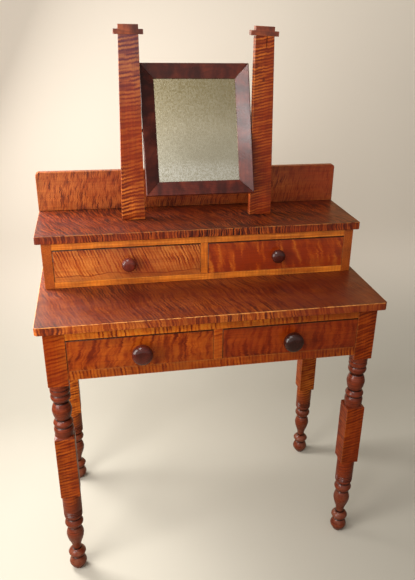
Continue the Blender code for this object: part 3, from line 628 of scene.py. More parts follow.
pineFinish = {
    "early": (176, 128, 78), "late": (128, 80, 40), "streak": (196, 152, 100), "aged": (104, 70, 42),
    "rings": 95.0, "warp": 1.6, "streakShare": 0.45, "agedShare": 0.45, "gloss": 0.66, "streakRough": 0.14,
    "saw": ((140.0, 6.0, 6.0), 1.0, 0.5), "sawBump": 0.6, "ringBump": 0.5, "bump": 0.45, "bumpDepth": 0.0006,
}


def pineLook(name, axis):
    # unfinished secondary wood, browned by age
    has = pineFinish
    look, tree, shader, place = startLook(name)
    board = turnedTo(tree, place, axis)
    grain = useGrain(tree, board, has)
    varnish = useGroup(tree, oldVarnish, place=place)
    colour = blend(tree, grain["Ring"], tone(*has["early"]), tone(*has["late"]))
    colour = tint(tree, colour, grain["Streak"], has["streakShare"], has["streak"])
    colour = tint(tree, colour, varnish["Haze"], has["agedShare"], has["aged"])
    feed(tree, shader.inputs["Base Color"], colour)
    addRough(tree, shader, grain["Streak"], has["streakRough"], has["gloss"])
    bump = calc(tree, "MULTIPLY", grain["Ring"], has["ringBump"])
    bump = calc(tree, "MULTIPLY_ADD", cloud(tree, board, *has["saw"]), has["sawBump"], bump)
    addBump(tree, shader, bump, has["bump"], has["bumpDepth"])
    return look


glassFinish = {
    "fall": (1.27, 1.06), "tones": ((0.0, (172, 156, 114)), (0.5, (204, 192, 161)), (1.0, (208, 201, 178))),
    "mottle": ((260.0, 260.0, 190.0), 5.0, 0.75, 0.36, 0.66), "mottled": (220, 215, 196), "mottleShare": 0.40,
    "wash": ((9.0, 9.0, 7.0), 3.0, 0.5, 0.36, 0.64), "washed": (164, 152, 122), "washShare": 0.25,
    "speck": ((620.0, 620.0, 620.0), 3.0, 0.6, 0.58, 0.70), "specked": (122, 110, 82), "speckShare": 0.35,
    "rim": (1.095, 1.060), "reflectionTone": (248, 246, 236), "reflectionShare": 0.6, "gloss": 0.24, "mottleRough": 0.08,
    "wave": ((60.0, 60.0, 34.0), 3.0, 0.5), "mottleBump": 0.15, "bump": 0.05, "bumpDepth": 0.0008,
}


def glassLook(name):
    # old looking glass: fine clouding of the silvering, browner at the top, with specks and runs
    has = glassFinish
    look, tree, shader, place = startLook(name)
    height = split(tree, place)[2]
    mottle = patches(tree, place, *has["mottle"])
    # painted darker and browner towards the top and paler below, partly as tarnish and partly as painted
    # reflection
    fall = ease(tree, height, *has["fall"])
    colour = ramp(tree, fall, [(stop, tone(*shade)) for stop, shade in has["tones"]])
    colour = tint(tree, colour, mottle, has["mottleShare"], has["mottled"])
    colour = tint(tree, colour, patches(tree, place, *has["wash"]), has["washShare"], has["washed"])
    colour = tint(tree, colour, patches(tree, place, *has["speck"]), has["speckShare"], has["specked"])
    # a pale band painted along the bottom of the glass, as painted reflection
    rim = calc(tree, "MULTIPLY", ease(tree, height, *has["rim"]), mottle)
    colour = tint(tree, colour, rim, has["reflectionShare"], has["reflectionTone"])
    feed(tree, shader.inputs["Base Color"], colour)
    shader.inputs["Metallic"].default_value = 1.0
    addRough(tree, shader, mottle, has["mottleRough"], has["gloss"])
    bump = calc(tree, "MULTIPLY_ADD", mottle, has["mottleBump"], cloud(tree, place, *has["wave"]))
    addBump(tree, shader, bump, has["bump"], has["bumpDepth"])
    return look


ironFinish = {
    "rust": ((420.0, 420.0, 420.0), 4.0, 0.65, 0.40, 0.64), "clean": (70, 66, 62), "rusted": (104, 58, 34),
    "metal": 0.9, "rustMetal": -0.7, "gloss": 0.42, "rustRough": 0.35, "bump": 0.4, "bumpDepth": 0.0003,
}


def ironLook(name):
    has = ironFinish
    look, tree, shader, place = startLook(name)
    rust = patches(tree, place, *has["rust"])
    feed(tree, shader.inputs["Base Color"], blend(tree, rust, tone(*has["clean"]), tone(*has["rusted"])))
    feed(tree, shader.inputs["Metallic"], calc(tree, "MULTIPLY_ADD", rust, has["rustMetal"], has["metal"]))
    addRough(tree, shader, rust, has["rustRough"], has["gloss"])
    addBump(tree, shader, rust, has["bump"], has["bumpDepth"])
    return look


# turned legs

legTurning = {
    "square": 0.050, "blockCorner": 0.0012, "shoulder": 0.003, "shoulderIn": 0.68, "shoulderArris": 0.0007,
    "round": 0.0248, "fullness": 1.4, "sides": 72, "steps": 9, "lap": 0.006, "smooth": 32,
    "topBlockEnd": 0.6143, "middleTop": 0.4573, "middleEnd": 0.2713,
    "drumRings": ((0.5990, 0.5912, 0.0014), (0.5832, 0.5740, 0.0028)), "drumLip": 0.0012,
    "drumEnd": 0.5660, "drumEdge": 0.0222, "drumNeck": 0.0085, "drumHollow": 0.0012,
    "ball": 0.049, "ballPeak": 0.0225, "neck": 0.0172,
    "upperRing": 0.020, "upperRingPeak": 0.0115, "ringGroove": 0.0205,
    "lowerRing": 0.0215, "lowerRingPeak": 0.010, "ringBase": 0.0238,
    "scores": (0.2120, 0.2062, 0.2004), "scoreWidth": 0.0019, "scoreDepth": 0.0020,
    "collarTop": 0.1962, "collarPeak": 0.1925, "collarEnd": 0.1830, "collarGroove": 0.0165,
    "collarLip": 0.0008, "collarQuirk": 0.0014, "collarThin": 0.0003,
    "bead": 0.0315, "beadPeak": 0.0155, "vaseTop": 0.0150, "vasePeak": 0.0235, "vaseThin": 0.0014,
    "vaseNeck": 0.0108, "disc": 0.028, "discPeak": 0.0135, "discThin": 0.0010, "discNeck": 0.0140,
    "foot": 0.0435, "footPeak": 0.021, "footBase": 0.012, "footFullness": 1.5,
}

legMarks = {
    "near": 1e-5, "blockEdge": 0.0004, "stainStart": 0.002, "stainLeast": 0.25, "stainHold": 0.015,
    "stainRise": 0.05, "quirkReach": (-0.004, -0.002, 0.002, 0.004), "quirkLeast": 0.0001,
    "quirkFull": 0.0009,
}

legFinish = {
    "grain": "z", "run": (1.0, 0.12, 0.27), "pitch": 0.0095, "wander": 1.6, "broken": 0.5, "regular": 0.55,
    "fade": 0.35, "depth": 1.65, "shine": 0.20, "coat": 0.04,
}

# the front right leg is painted darker, as painted shade, and the rear legs lighter, as painted light
legLightAndShadeTone = {
    "front_left": {"body": (154, 59, 9), "light": (194, 94, 21)},
    "front_right": {"body": (134, 46, 7), "light": (172, 74, 16)},
    "rear_left": {"body": (184, 86, 18), "light": (216, 120, 36)},
    "rear_right": {"body": (184, 88, 20), "light": (216, 122, 40)},
}


def outTo(start, peak, has):
    # from a neck out to the peak of a bead, as (height, radius)
    power = 2 / has["fullness"]
    points = []
    for step in range(1, has["steps"] + 1):
        turn = math.pi / 2 * step / has["steps"]
        points.append((start[0] + (peak[0] - start[0]) * (1 - abs(math.cos(turn)) ** power),
                       start[1] + (peak[1] - start[1]) * math.sin(turn) ** power))
    return points


def beadBetween(start, peak, end, has):
    back = outTo(end, peak, has)
    return outTo(start, peak, has) + back[-2::-1] + [end]


def upperTurning(has):
    # drum with its two ring beads, ball and two rings
    wide = has["round"]
    first, second = has["drumRings"]
    ballTop = has["drumEnd"] - has["drumNeck"]
    ballEnd = ballTop - has["ball"]
    ringEnd = ballEnd - has["upperRing"]
    secondEnd = ringEnd - has["lowerRing"]
    neck, waist = (ballTop, has["neck"]), (ballEnd, has["neck"])
    groove, base = (ringEnd, has["ringGroove"]), (secondEnd, has["ringBase"])
    quirk, deeper = (first[0], wide - first[2]), (second[0], wide - second[2])
    points = [(has["topBlockEnd"] + has["lap"], wide), (first[0] + has["drumLip"], wide), quirk]
    points += beadBetween(quirk, (first[1], wide), deeper, has)
    points += beadBetween(deeper, (second[1], wide), (has["drumEnd"], has["drumEdge"]), has)
    hollow = (has["drumEdge"] + has["neck"]) / 2 - has["drumHollow"]
    points += [((has["drumEnd"] + ballTop) / 2, hollow), neck]
    points += beadBetween(neck, (ballTop - has["ballPeak"], wide), waist, has)
    points += beadBetween(waist, (ballEnd - has["upperRingPeak"], wide), groove, has)
    points += beadBetween(groove, (ringEnd - has["lowerRingPeak"], wide), base, has)
    return points + [(has["middleTop"] - has["lap"], has["ringBase"])]


def lowerTurning(has):
    # scored cylinder, collar, bead, vase, disc and foot
    wide, steps = has["round"], has["steps"]
    collar = (has["collarEnd"], has["collarGroove"])
    vaseTop = (collar[0] - has["bead"], has["vaseTop"])
    vasePeak = (vaseTop[0] - has["vasePeak"], wide - has["vaseThin"])
    neck = (has["foot"] + has["disc"], has["vaseNeck"])
    discPeak = (neck[0] - has["discPeak"], wide - has["discThin"])
    discEnd = (has["foot"], has["discNeck"])
    footPeak = (has["foot"] - has["footPeak"], wide - has["discThin"])
    points = [(has["middleEnd"] + has["lap"], wide)]
    for place in has["scores"]:
        points += [(place + has["scoreWidth"], wide), (place, wide - has["scoreDepth"])]
        points += [(place - has["scoreWidth"], wide)]
    start = (has["collarTop"], wide - has["collarQuirk"])
    points += [(has["collarTop"] + has["collarLip"], wide), start]
    points += beadBetween(start, (has["collarPeak"], wide - has["collarThin"]), collar, has)
    points += beadBetween(collar, (collar[0] - has["beadPeak"], wide), vaseTop, has)
    points += outTo(vaseTop, vasePeak, has)
    for step in range(1, 3 * steps + 1):
        share = step / (3 * steps)
        fall = 0.5 - 0.5 * math.cos(math.pi * share)
        points.append((vasePeak[0] + (neck[0] - vasePeak[0]) * share,
                       vasePeak[1] - (vasePeak[1] - neck[1]) * fall))
    points += beadBetween(neck, discPeak, discEnd, has)
    points += outTo(discEnd, footPeak, has)
    for step in range(1, 2 * steps + 1):
        share = step / (2 * steps)
        spread = (footPeak[1] - has["footBase"]) * (1 - share ** has["footFullness"])
        points.append((footPeak[0] * (1 - share), has["footBase"] + spread))
    return points


def spun(name, outline, sides, axis="Z"):
    # spins an outline of (place along the axis, radius) into a closed turned solid
    points = [(outline[0][0], 0.0)] + list(outline) + [(outline[-1][0], 0.0)]
    if axis == "Z":
        places = [(radius, 0.0, place) for place, radius in points]
    else:
        places = [(radius, place, 0.0) for place, radius in points]
    mesh = bpy.data.meshes.new(name)
    mesh.from_pydata(places, [(here, here + 1) for here in range(len(places) - 1)], [])
    piece = linked(name, mesh)
    openMesh(piece, "VERT")
    pickAll()
    line = (0.0, 0.0, 1.0) if axis == "Z" else (0.0, 1.0, 0.0)
    bpy.ops.mesh.spin(steps=sides, angle=2 * math.pi, center=(0.0, 0.0, 0.0), axis=line)
    pickAll()
    bpy.ops.mesh.remove_doubles(threshold=0.00001)
    bpy.ops.mesh.normals_make_consistent(inside=False)
    closeMesh()
    return piece


def legBlock(name, low, high, ends, has):
    # a square block with eased corners, whose ends slope in to where the turning starts
    half, near = has["square"] / 2, legMarks["near"]
    piece = block(name, (-half, -half, low), (half, half, high))
    openMesh(piece)
    pickWhere(piece, lambda edge: abs(edgeRun(edge).z) > 0.9)
    bpy.ops.mesh.bevel(offset=has["blockCorner"], segments=3, affect="EDGES")
    for level, way in ends:
        pickWhere(piece, lambda face: abs(face.calc_center_median().z - level) < near, "FACE")
        bpy.ops.mesh.extrude_region_move(TRANSFORM_OT_translate={"value": (0.0, 0.0, way * has["shoulder"])})
        bpy.ops.transform.resize(value=(has["shoulderIn"], has["shoulderIn"], 1.0),
                                 center_override=(0.0, 0.0, level))
        pickWhere(piece, lambda edge: max(abs(vert.co.z - level) for vert in edge.verts) < near)
        bpy.ops.mesh.bevel(offset=has["shoulderArris"], segments=2, affect="EDGES", clamp_overlap=True)
    closeMesh()
    return piece


def keepShare(value):
    return min(max(value, 0.0), 1.0)


def turnedShare(place, has, marks):
    # 0 on the square blocks, 1 on the turnings, rising slowly down the lower cylinder
    step = marks["blockEdge"]
    if place > has["middleTop"] - step:
        into = min(has["topBlockEnd"] - place, place - has["middleTop"]) + step
        return keepShare(into / step)
    below = has["middleEnd"] - place
    rise = keepShare((below - marks["stainHold"]) / marks["stainRise"])
    return keepShare(below / marks["stainStart"]) * (marks["stainLeast"] + (1 - marks["stainLeast"]) * rise)


def markTurning(piece, outline, has, marks):
    # stores where the leg is turned, and how far each point of it sits inside a quirk
    outline = sorted(outline)
    heights = [place for place, radius in outline]

    def radiusAt(place):
        for here in range(len(heights) - 1):
            if heights[here] <= place <= heights[here + 1]:
                gap = heights[here + 1] - heights[here]
                share = (place - heights[here]) / gap if gap > 1e-9 else 0.0
                return outline[here][1] + (outline[here + 1][1] - outline[here][1]) * share
        return outline[0][1] if place < heights[0] else outline[-1][1]

    hollow = piece.data.attributes.new("hollow", "FLOAT", "POINT")
    turned = piece.data.attributes.new("turned", "FLOAT", "POINT")
    reach = marks["quirkReach"]
    known = {}
    for vert in piece.data.vertices:
        place = round(vert.co.z, 5)
        if place not in known:
            around = sum(radiusAt(place + shift) for shift in reach) / len(reach)
            known[place] = keepShare((around - radiusAt(place) - marks["quirkLeast"]) / marks["quirkFull"])
        share = turnedShare(place, has, marks)
        hollow.data[vert.index].value = known[place] if share else 0.0
        turned.data[vert.index].value = share


def makeLegs():
    has = legTurning
    blockEnd, middleTop, middleEnd = has["topBlockEnd"], has["middleTop"], has["middleEnd"]
    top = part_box("leg_front_left")[1].z
    upper, lower = upperTurning(has), lowerTurning(has)
    pattern = legBlock("leg pattern", blockEnd, top, [(blockEnd, -1)], has)
    join(pattern, spun("upper turning", upper, has["sides"]), "UNION")
    middle = legBlock("middle block", middleEnd, middleTop, [(middleEnd, -1), (middleTop, 1)], has)
    join(pattern, middle, "UNION")
    join(pattern, spun("lower turning", lower, has["sides"]), "UNION")
    markTurning(pattern, upper + lower, has, legMarks)
    smoothOff(pattern, has["smooth"])
    for place, tones in legLightAndShadeTone.items():
        node = "leg_" + place
        low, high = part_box(node)
        piece = linked("turned_" + node, pattern.data.copy())
        piece.data.transform(Matrix.Translation(((low.x + high.x) / 2, (low.y + high.y) / 2, 0.0)))
        look = mapleLook("maple " + node, low, high, turned=turnedStain, **legFinish, **tones)
        settle(piece, look, "table", "tiger_maple", node)
    bpy.data.objects.remove(pattern)
    print("legs turned")


makeLegs()


# boards: tops, rails, aprons and the upper case

topShape = {
    "corner": 0.009, "upperCorner": 0.004, "arris": 0.0016, "station": 0.011,
    "nibble": 0.0007, "band": 0.004, "bites": 34, "row": 3.1, "layer": 9, "inward": 1.4,
    "wearBelow": 0.05,   # keeps the wear, partly painted highlight, off the lower arris
}

# the upper face is painted darker through upper and topShadeShare, as painted shade; the strong wear on the
# front arris is partly real wear and partly a painted highlight
lowerTopFinish = {
    "dark": (80, 22, 3), "body": (164, 68, 12), "light": (216, 116, 34),
    "upper": (180, 164, 148), "topShadeShare": 1.0,
    "run": (1.0, 0.30, 0.1), "pitch": 0.0072, "wander": 4.0, "fade": 0.4, "depth": 1.5, "feather": 0.6,
    "regular": 0.35, "broken": 1.1, "reach": 0.0024, "wear": 0.9, "gloss": 0.42, "shine": 0.38, "coat": 0.12,
}

upperTopFinish = {
    **lowerTopFinish, "dark": (38, 8, 2), "body": (114, 38, 6), "light": (184, 86, 24),
    "upper": (206, 196, 178), "run": (1.0, 0.35, 0.1), "pitch": 0.0070, "wander": 5.0, "fade": 0.25,
    "depth": 2.0, "broken": 1.5, "reach": 0.002, "wear": 0.45, "shine": 0.30,
}


def makeTop(node, name, corner, finish, has):
    # a plank with rounded front corners whose front arris has been worn unevenly
    low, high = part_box(node)
    piece = block("plank_" + node, low, high)
    openMesh(piece)
    pickWhere(piece, lambda edge: abs(edgeRun(edge).z) > 0.9 and edgeMiddle(edge).y < low.y + 0.001)
    bpy.ops.mesh.bevel(offset=corner, segments=6, affect="EDGES")
    pickWhere(piece, lambda edge: abs(edgeRun(edge).z) < 0.1)
    bpy.ops.mesh.bevel(offset=has["arris"], segments=3, affect="EDGES")
    place = low.x + has["station"]
    while place < high.x - has["station"]:
        pickAll()
        bpy.ops.mesh.bisect(plane_co=(place, 0.0, 0.0), plane_no=(1.0, 0.0, 0.0))
        place += has["station"]
    closeMesh()
    for vert in piece.data.vertices:
        if vert.co.y < low.y + has["band"] and vert.co.z > high.z - has["band"]:
            spot = Vector((vert.co.x * has["bites"], has["row"], low.z * has["layer"]))
            bite = max(noise.noise(spot), 0.0) * has["nibble"]
            vert.co.y += bite * has["inward"]
            vert.co.z -= bite
    smoothOff(piece)
    under = Vector((low.x, low.y, low.z - has["wearBelow"]))
    settle(piece, mapleLook(name, under, high, **finish), "table", "tiger_maple", node)


railGrain = {"lower_top_rail": "x", "lower_bottom_rail": "x", "lower_divider": "z",
             "side_apron_left": "y", "side_apron_right": "y"}

# the dark, body and light tones are painted lighter, as painted light that lifts the shade under the lower
# top's overhang
railFinish = {
    "run": (1.0, 0.0, 0.08), "pitch": 0.010, "wander": 1.2,
    "dark": (122, 39, 6), "body": (226, 112, 20), "light": (244, 142, 38),
}

railOwn = {
    "lower_bottom_rail": {"pitch": 0.0082, "regular": 0.55, "broken": 0.45, "feather": 0.5,
                          "dark": (104, 30, 4), "body": (166, 70, 11), "light": (196, 100, 24)},
    "lower_divider": {"dark": (100, 30, 5), "body": (186, 80, 13), "light": (210, 106, 27)},
}

caseGrain = {"case_side_left": "y", "case_side_right": "y", "case_top_rail": "x", "case_bottom_rail": "x",
             "case_divider": "z"}

# both case sides are painted darker than the rails, as painted shade
caseSideShade = {"dark": (150, 64, 13), "body": (188, 95, 27)}
caseOwn = {"case_side_left": caseSideShade, "case_side_right": caseSideShade,
           "case_divider": {"dark": (190, 90, 18), "body": (232, 130, 38)}}

boardArris = 0.0008

backsplashShape = {"knock": 0.013, "cuts": ((0.0, 0.25), (0.006, 0.75)), "lean": -0.06, "arris": 0.0007}

backsplashFinish = {
    "run": (1.0, 0.0, -0.18), "pitch": 0.0062, "wander": 2.6, "regular": 0.30, "broken": 1.6, "depth": 1.4,
    "feather": 1.0, "fade": 0.35, "break": 38.0, "dark": (78, 25, 6), "body": (156, 69, 20),
    "light": (186, 99, 40), "shine": 0.32, "coat": 0.15, "gloss": 0.42,
}


def makeBacksplash(node, has):
    low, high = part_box(node)
    piece = fromFrame(node, "board_backsplash")
    openMesh(piece)
    for shift, tilt in has["cuts"]:   # the knocked left corner
        pickAll()
        bpy.ops.mesh.bisect(plane_co=(low.x + has["knock"] - shift, low.y, high.z),
                            plane_no=(-tilt, has["lean"], 1.0), clear_outer=True, use_fill=True)
    closeMesh()
    easeEdges(piece, has["arris"])
    smoothOff(piece)
    settle(piece, mapleLook("maple backsplash", low, high, **backsplashFinish), "table", "tiger_maple", node)


def makeBoards():
    makeTop("lower_top", "maple lower top", topShape["corner"], lowerTopFinish, topShape)
    makeTop("upper_top", "maple upper top", topShape["upperCorner"], upperTopFinish, topShape)
    for node, axis in railGrain.items():
        piece = easedCopy(node, "eased_" + node, boardArris)
        finish = {**railFinish, **railOwn.get(node, {})}
        look = mapleLook("maple " + node, *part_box(node), grain=axis, **finish)
        settle(piece, look, "table", "tiger_maple", node)
    for node, axis in caseGrain.items():
        piece = easedCopy(node, "eased_" + node, boardArris)
        look = plainLook("plain " + node, *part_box(node), grain=axis, **caseOwn.get(node, {}))
        settle(piece, look, "table", "plain_maple", node)
    makeBacksplash("backsplash", backsplashShape)
    print("boards eased")


makeBoards()


# drawers and knobs

# grime sets how dark the painted shade in the gap round each front is
drawerFront = {"arris": 0.0010, "segments": 3, "grime": 0.85}

drawerFigure = {
    "upper_left": {"run": (1.0, 0.0, 0.40), "pitch": 0.0078, "wander": 2.4, "regular": 0.50, "broken": 0.6,
                   "fade": 0.6, "feather": 0.8, "growth": 0.8165, "depth": 1.6, "body": (184, 86, 21),
                   "light": (226, 138, 58), "shine": 0.5, "coat": 0.35},
    "upper_right": {"run": (1.0, 0.0, 0.30), "pitch": 0.027, "wander": 1.8, "regular": 0.08, "broken": 0.6,
                    "fade": 0.35, "feather": 0.5, "ground": 0.31, "break": 8.0, "dark": (144, 46, 6),
                    "body": (182, 75, 11), "light": (228, 124, 36), "shine": 0.4, "coat": 0.3},
    "lower_left": {"run": (1.0, 0.0, -0.16), "pitch": 0.015, "wander": 3.0, "regular": 0.2, "broken": 1.2,
                   "fade": 0.4, "feather": 0.6},
    "lower_right": {"run": (1.0, 0.0, -0.10), "pitch": 0.015, "wander": 2.6, "regular": 0.2, "broken": 1.0,
                    "fade": 0.5, "feather": 0.6, "dark": (82, 16, 2), "body": (132, 42, 6),
                    "light": (172, 72, 16)},
}

knobShape = {
    "lower": {"head": 0.0258, "reach": 0.036, "dome": 0.016, "ring": 0.0228},
    "upper": {"head": 0.0187, "reach": 0.027, "dome": 0.012, "ring": 0.0165},
    "fullness": 3.2, "quirk": 0.0005, "quirkWidth": 0.0008, "tip": 0.00002,
    "rim": 0.004, "rimEase": 0.0015, "rimSteps": 4, "rimBack": 0.0006, "rimUnder": 0.0012,
    "neck": 0.0085, "neckOut": 0.0045, "neckSteps": 6, "flare": 0.0045, "bell": 0.0022, "bellFlare": 0.0004,
    "foot": 0.0105, "seat": 0.0003, "shank": 0.006, "shankLength": 0.019,
    "sides": 64, "steps": 40, "smooth": 38,
}

# the tones differ from knob to knob as painted light and shade: the right-hand knobs are painted darker
knobToneWithPaintedShade = {"lower_left": (88, 29, 19), "lower_right": (54, 18, 12), "upper_left": (128, 48, 33),
            "upper_right": (84, 31, 22)}
knobDarker, knobLighter = (0.70, 0.66, 0.64), (1.16, 1.25, 1.30)

knobFinish = {"grain": "y", "wear": 0.0, "gloss": 0.16, "shine": 0.32, "coat": 0.6}


def knobOutline(size, has):
    # from the tip of the dome inwards, as (place along the axis, radius)
    head, rim = size["head"], size["reach"] - size["dome"]
    power = 2 / has["fullness"]
    points = [(size["reach"], has["tip"])]
    for step in range(1, has["steps"] + 1):
        turn = math.pi / 2 * step / has["steps"]
        radius = head * math.sin(turn) ** power
        near = max(1 - abs(radius - size["ring"]) / has["quirkWidth"], 0.0)   # ring cut inside the rim
        points.append((rim + size["dome"] * abs(math.cos(turn)) ** power - near * has["quirk"], radius))
    for step in range(1, has["rimSteps"] + 1):
        turn = math.pi / 2 * step / has["rimSteps"]
        points.append((rim - has["rim"] * math.sin(turn), head - has["rimEase"] * (1 - math.cos(turn))))
    points.append((rim - has["rim"] - has["rimBack"], head - has["rimEase"] - has["rimUnder"]))
    for step in range(0, has["neckSteps"] + 1):
        share = step / has["neckSteps"]
        place = has["neckOut"] + has["flare"] - has["flare"] * share
        points.append((place, has["neck"] + has["flare"] * (1 - math.sin(math.pi / 2 * share))))
    points += [(has["bell"], has["neck"] + has["bellFlare"]), (has["seat"], has["foot"])]
    points += [(has["seat"], has["shank"]), (-has["shankLength"], has["shank"])]
    return points


def makeDrawers():
    has = knobShape
    patterns = {}
    for level in ("upper", "lower"):
        outline = [(-place, radius) for place, radius in knobOutline(has[level], has)]
        patterns[level] = spun(level + " knob pattern", outline, has["sides"], "Y")
        smoothOff(patterns[level], has["smooth"])
    for name, figure in drawerFigure.items():
        body = name + "_drawer"
        node = body + "_front"
        piece = easedCopy(node, "figured_" + node, drawerFront["arris"], drawerFront["segments"])
        look = mapleLook("maple " + node, *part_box(node), grime=drawerFront["grime"], **figure)
        settle(piece, look, body, "tiger_maple", node)
        node = body + "_knob"
        low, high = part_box(node)
        level = name.split("_")[0]
        piece = linked("turned_" + node, patterns[level].data.copy())
        middle = Vector(((low.x + high.x) / 2, low.y + has[level]["reach"], (low.z + high.z) / 2))
        piece.data.transform(Matrix.Translation(middle))
        tones = knobToneWithPaintedShade[name]
        dark = [part * share for part, share in zip(tones, knobDarker)]
        light = [part * share for part, share in zip(tones, knobLighter)]
        look = darkLook("knob wood " + name, low, high, dark=dark, body=tones, light=light, **knobFinish)
        settle(piece, look, body, "knob_wood", node)
    for piece in patterns.values():
        bpy.data.objects.remove(piece)
    print("drawers and knobs done")


makeDrawers()


# posts, caps and the swinging mirror

postShape = {
    "arris": 0.0009, "sharp": 0.87, "bore": 0.006, "crackAcross": 0.46, "crackLength": 0.033,
    "crackWidth": 0.0020, "crackDepth": 0.005, "crackStart": 0.01,
}

postFinish = {
    "grain": "z", "run": (1.0, 0.1, 0.22), "wander": 1.6, "regular": 0.6, "fade": 0.12, "depth": 2.1,
    "feather": 0.5, "reach": 0.002, "shine": 0.30, "coat": 0.10,
}

postOwn = {
    "left": {"pitch": 0.0100, "body": (172, 79, 20), "light": (222, 126, 46)},
    "right": {"pitch": 0.0076, "body": (162, 71, 16), "light": (212, 116, 39)},
}

# the painted sheen on the left post runs between these heights above its foot
postMarks = {"sheenFrom": 0.22, "sheenTo": 0.52, "knotAcross": 0.025, "knotBelow": 0.110}

capShape = {"arris": 0.0009, "slip": 2.2}   # the slip in degrees

capFinish = {
    "dark": (70, 22, 9), "body": (128, 54, 24), "light": (156, 74, 34), "worn": (190, 112, 60), "rings": 70.0,
    "gloss": 0.30, "coat": 0.4,
}


def makePost(node, side, pivot, has):
    low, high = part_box(node)
    piece = fromFrame(node, "tapered_" + node)
    openMesh(piece)   # every sharp edge but those of the bore that the pivot pin turns in
    pickWhere(piece, lambda edge: edge.calc_face_angle(0.0) > has["sharp"]
              and max(abs(vert.co.z - pivot.z) for vert in edge.verts) > has["bore"])
    bpy.ops.mesh.bevel(offset=has["arris"], segments=2, affect="EDGES", clamp_overlap=True)
    closeMesh()
    marks = {"paintedSheen": (low.z + postMarks["sheenFrom"], low.z + postMarks["sheenTo"])}
    if side == "right":   # a drying crack runs down from the cap
        start = low.x + has["crackAcross"] * (high.x - low.x)
        crack = block("crack", (start, low.y - has["crackStart"], high.z - has["crackLength"]),
                      (start + has["crackWidth"], low.y + has["crackDepth"], high.z))
        join(piece, crack, "DIFFERENCE")
        marks = {"knot": (low.x + postMarks["knotAcross"], low.y, high.z - postMarks["knotBelow"])}
    smoothOff(piece)
    look = mapleLook("maple " + node, low, high, **postFinish, **postOwn[side], **marks)
    settle(piece, look, "table", "tiger_maple", node)


def makeCap(node, side, has):
    low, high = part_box(node)
    piece = fromFrame(node, "capital_" + node)
    easeEdges(piece, has["arris"])
    if side == "right":   # this one has slipped a little round
        middle = (low + high) / 2
        turn = Matrix.Translation(middle) @ Matrix.Rotation(math.radians(has["slip"]), 4, "Y")
        piece.data.transform(turn @ Matrix.Translation(-middle))
    smoothOff(piece)
    settle(piece, darkLook("cap wood " + side, low, high, **capFinish), "table", "cap_wood", node)


def makePosts():
    pivot = sum(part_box("mirror_pin_left"), Vector()) / 2
    for side in ("left", "right"):
        makePost("post_" + side, side, pivot, postShape)
        makeCap("post_cap_" + side, side, capShape)
    print("posts done")


mirrorShape = {"arris": 0.0006, "glassArris": 0.0004}

mirrorTone = {"dark": (58, 18, 11), "body": (92, 32, 20), "light": (114, 46, 28)}

mirrorGrain = {"mirror_rail_top": "x", "mirror_rail_bottom": "x",
               "mirror_stile_left": "z", "mirror_stile_right": "z"}
# the left stile and the top rail are painted darker, as painted shade
mirrorPaintedShade = {"mirror_stile_left": 0.85, "mirror_rail_top": 0.9}
mirrorFinish = {"shine": 0.40, "coat": 0.22}


def makeMirror():
    for node, axis in mirrorGrain.items():
        piece = easedCopy(node, "mitred_" + node, mirrorShape["arris"])
        shade = mirrorPaintedShade.get(node, 1.0)
        tones = {name: [part * shade for part in value] for name, value in mirrorTone.items()}
        look = darkLook("mahogany " + node, *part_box(node), grain=axis, **mirrorFinish, **tones)
        settle(piece, look, "mirror", "mahogany", node)
    piece = easedCopy("mirror_glass", "silvered_plate", mirrorShape["glassArris"])
    settle(piece, glassLook("old silvering"), "mirror", "looking_glass", "mirror_glass")
    print("mirror done")


makePosts()
makeMirror()


# solids that keep their own shape and only need a finish

def finishPlainNodes():
    pine = {axis: pineLook("old pine " + axis, axis) for axis in "xyz"}
    iron = ironLook("pivot iron")
    for name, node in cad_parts.items():
        if name.startswith("mirror_pin"):
            look = iron
        elif "drawer_side" in name or name.startswith("runner") or name == "case_guide":
            look = pine["y"]
        elif name in ("back_apron", "case_back", "case_bottom") or "drawer_b" in name:
            look = pine["x"]
        elif name == "mirror_backboard":
            look = pine["z"]
        else:
            continue
        for slot in node.material_slots:
            slot.material = look
    print("plain solids finished")


finishPlainNodes()


# floor, backdrop, lamps and camera

studio = {"back": 1.15, "sweep": 0.55, "rise": 3.4, "half": 5.0, "front": -3.2, "segments": 16, "near": 1e-4}

paperFinish = {
    "fleck": ((2.0, 2.0, 2.0), 3.0, 0.5), "floorDark": (201, 195, 181), "floorLight": (209, 203, 190),
    "wallAcross": (-1.1, 1.3), "wallLeft": (228, 218, 204), "wallRight": (244, 234, 219),
    "seenAcross": (-0.3, 0.8), "seenLeft": (255, 249, 238), "seenRight": (248, 212, 158),
    "thrown": (150, 142, 128), "bend": (0.0, 0.4), "gloss": 0.9, "shine": 0.1,
}


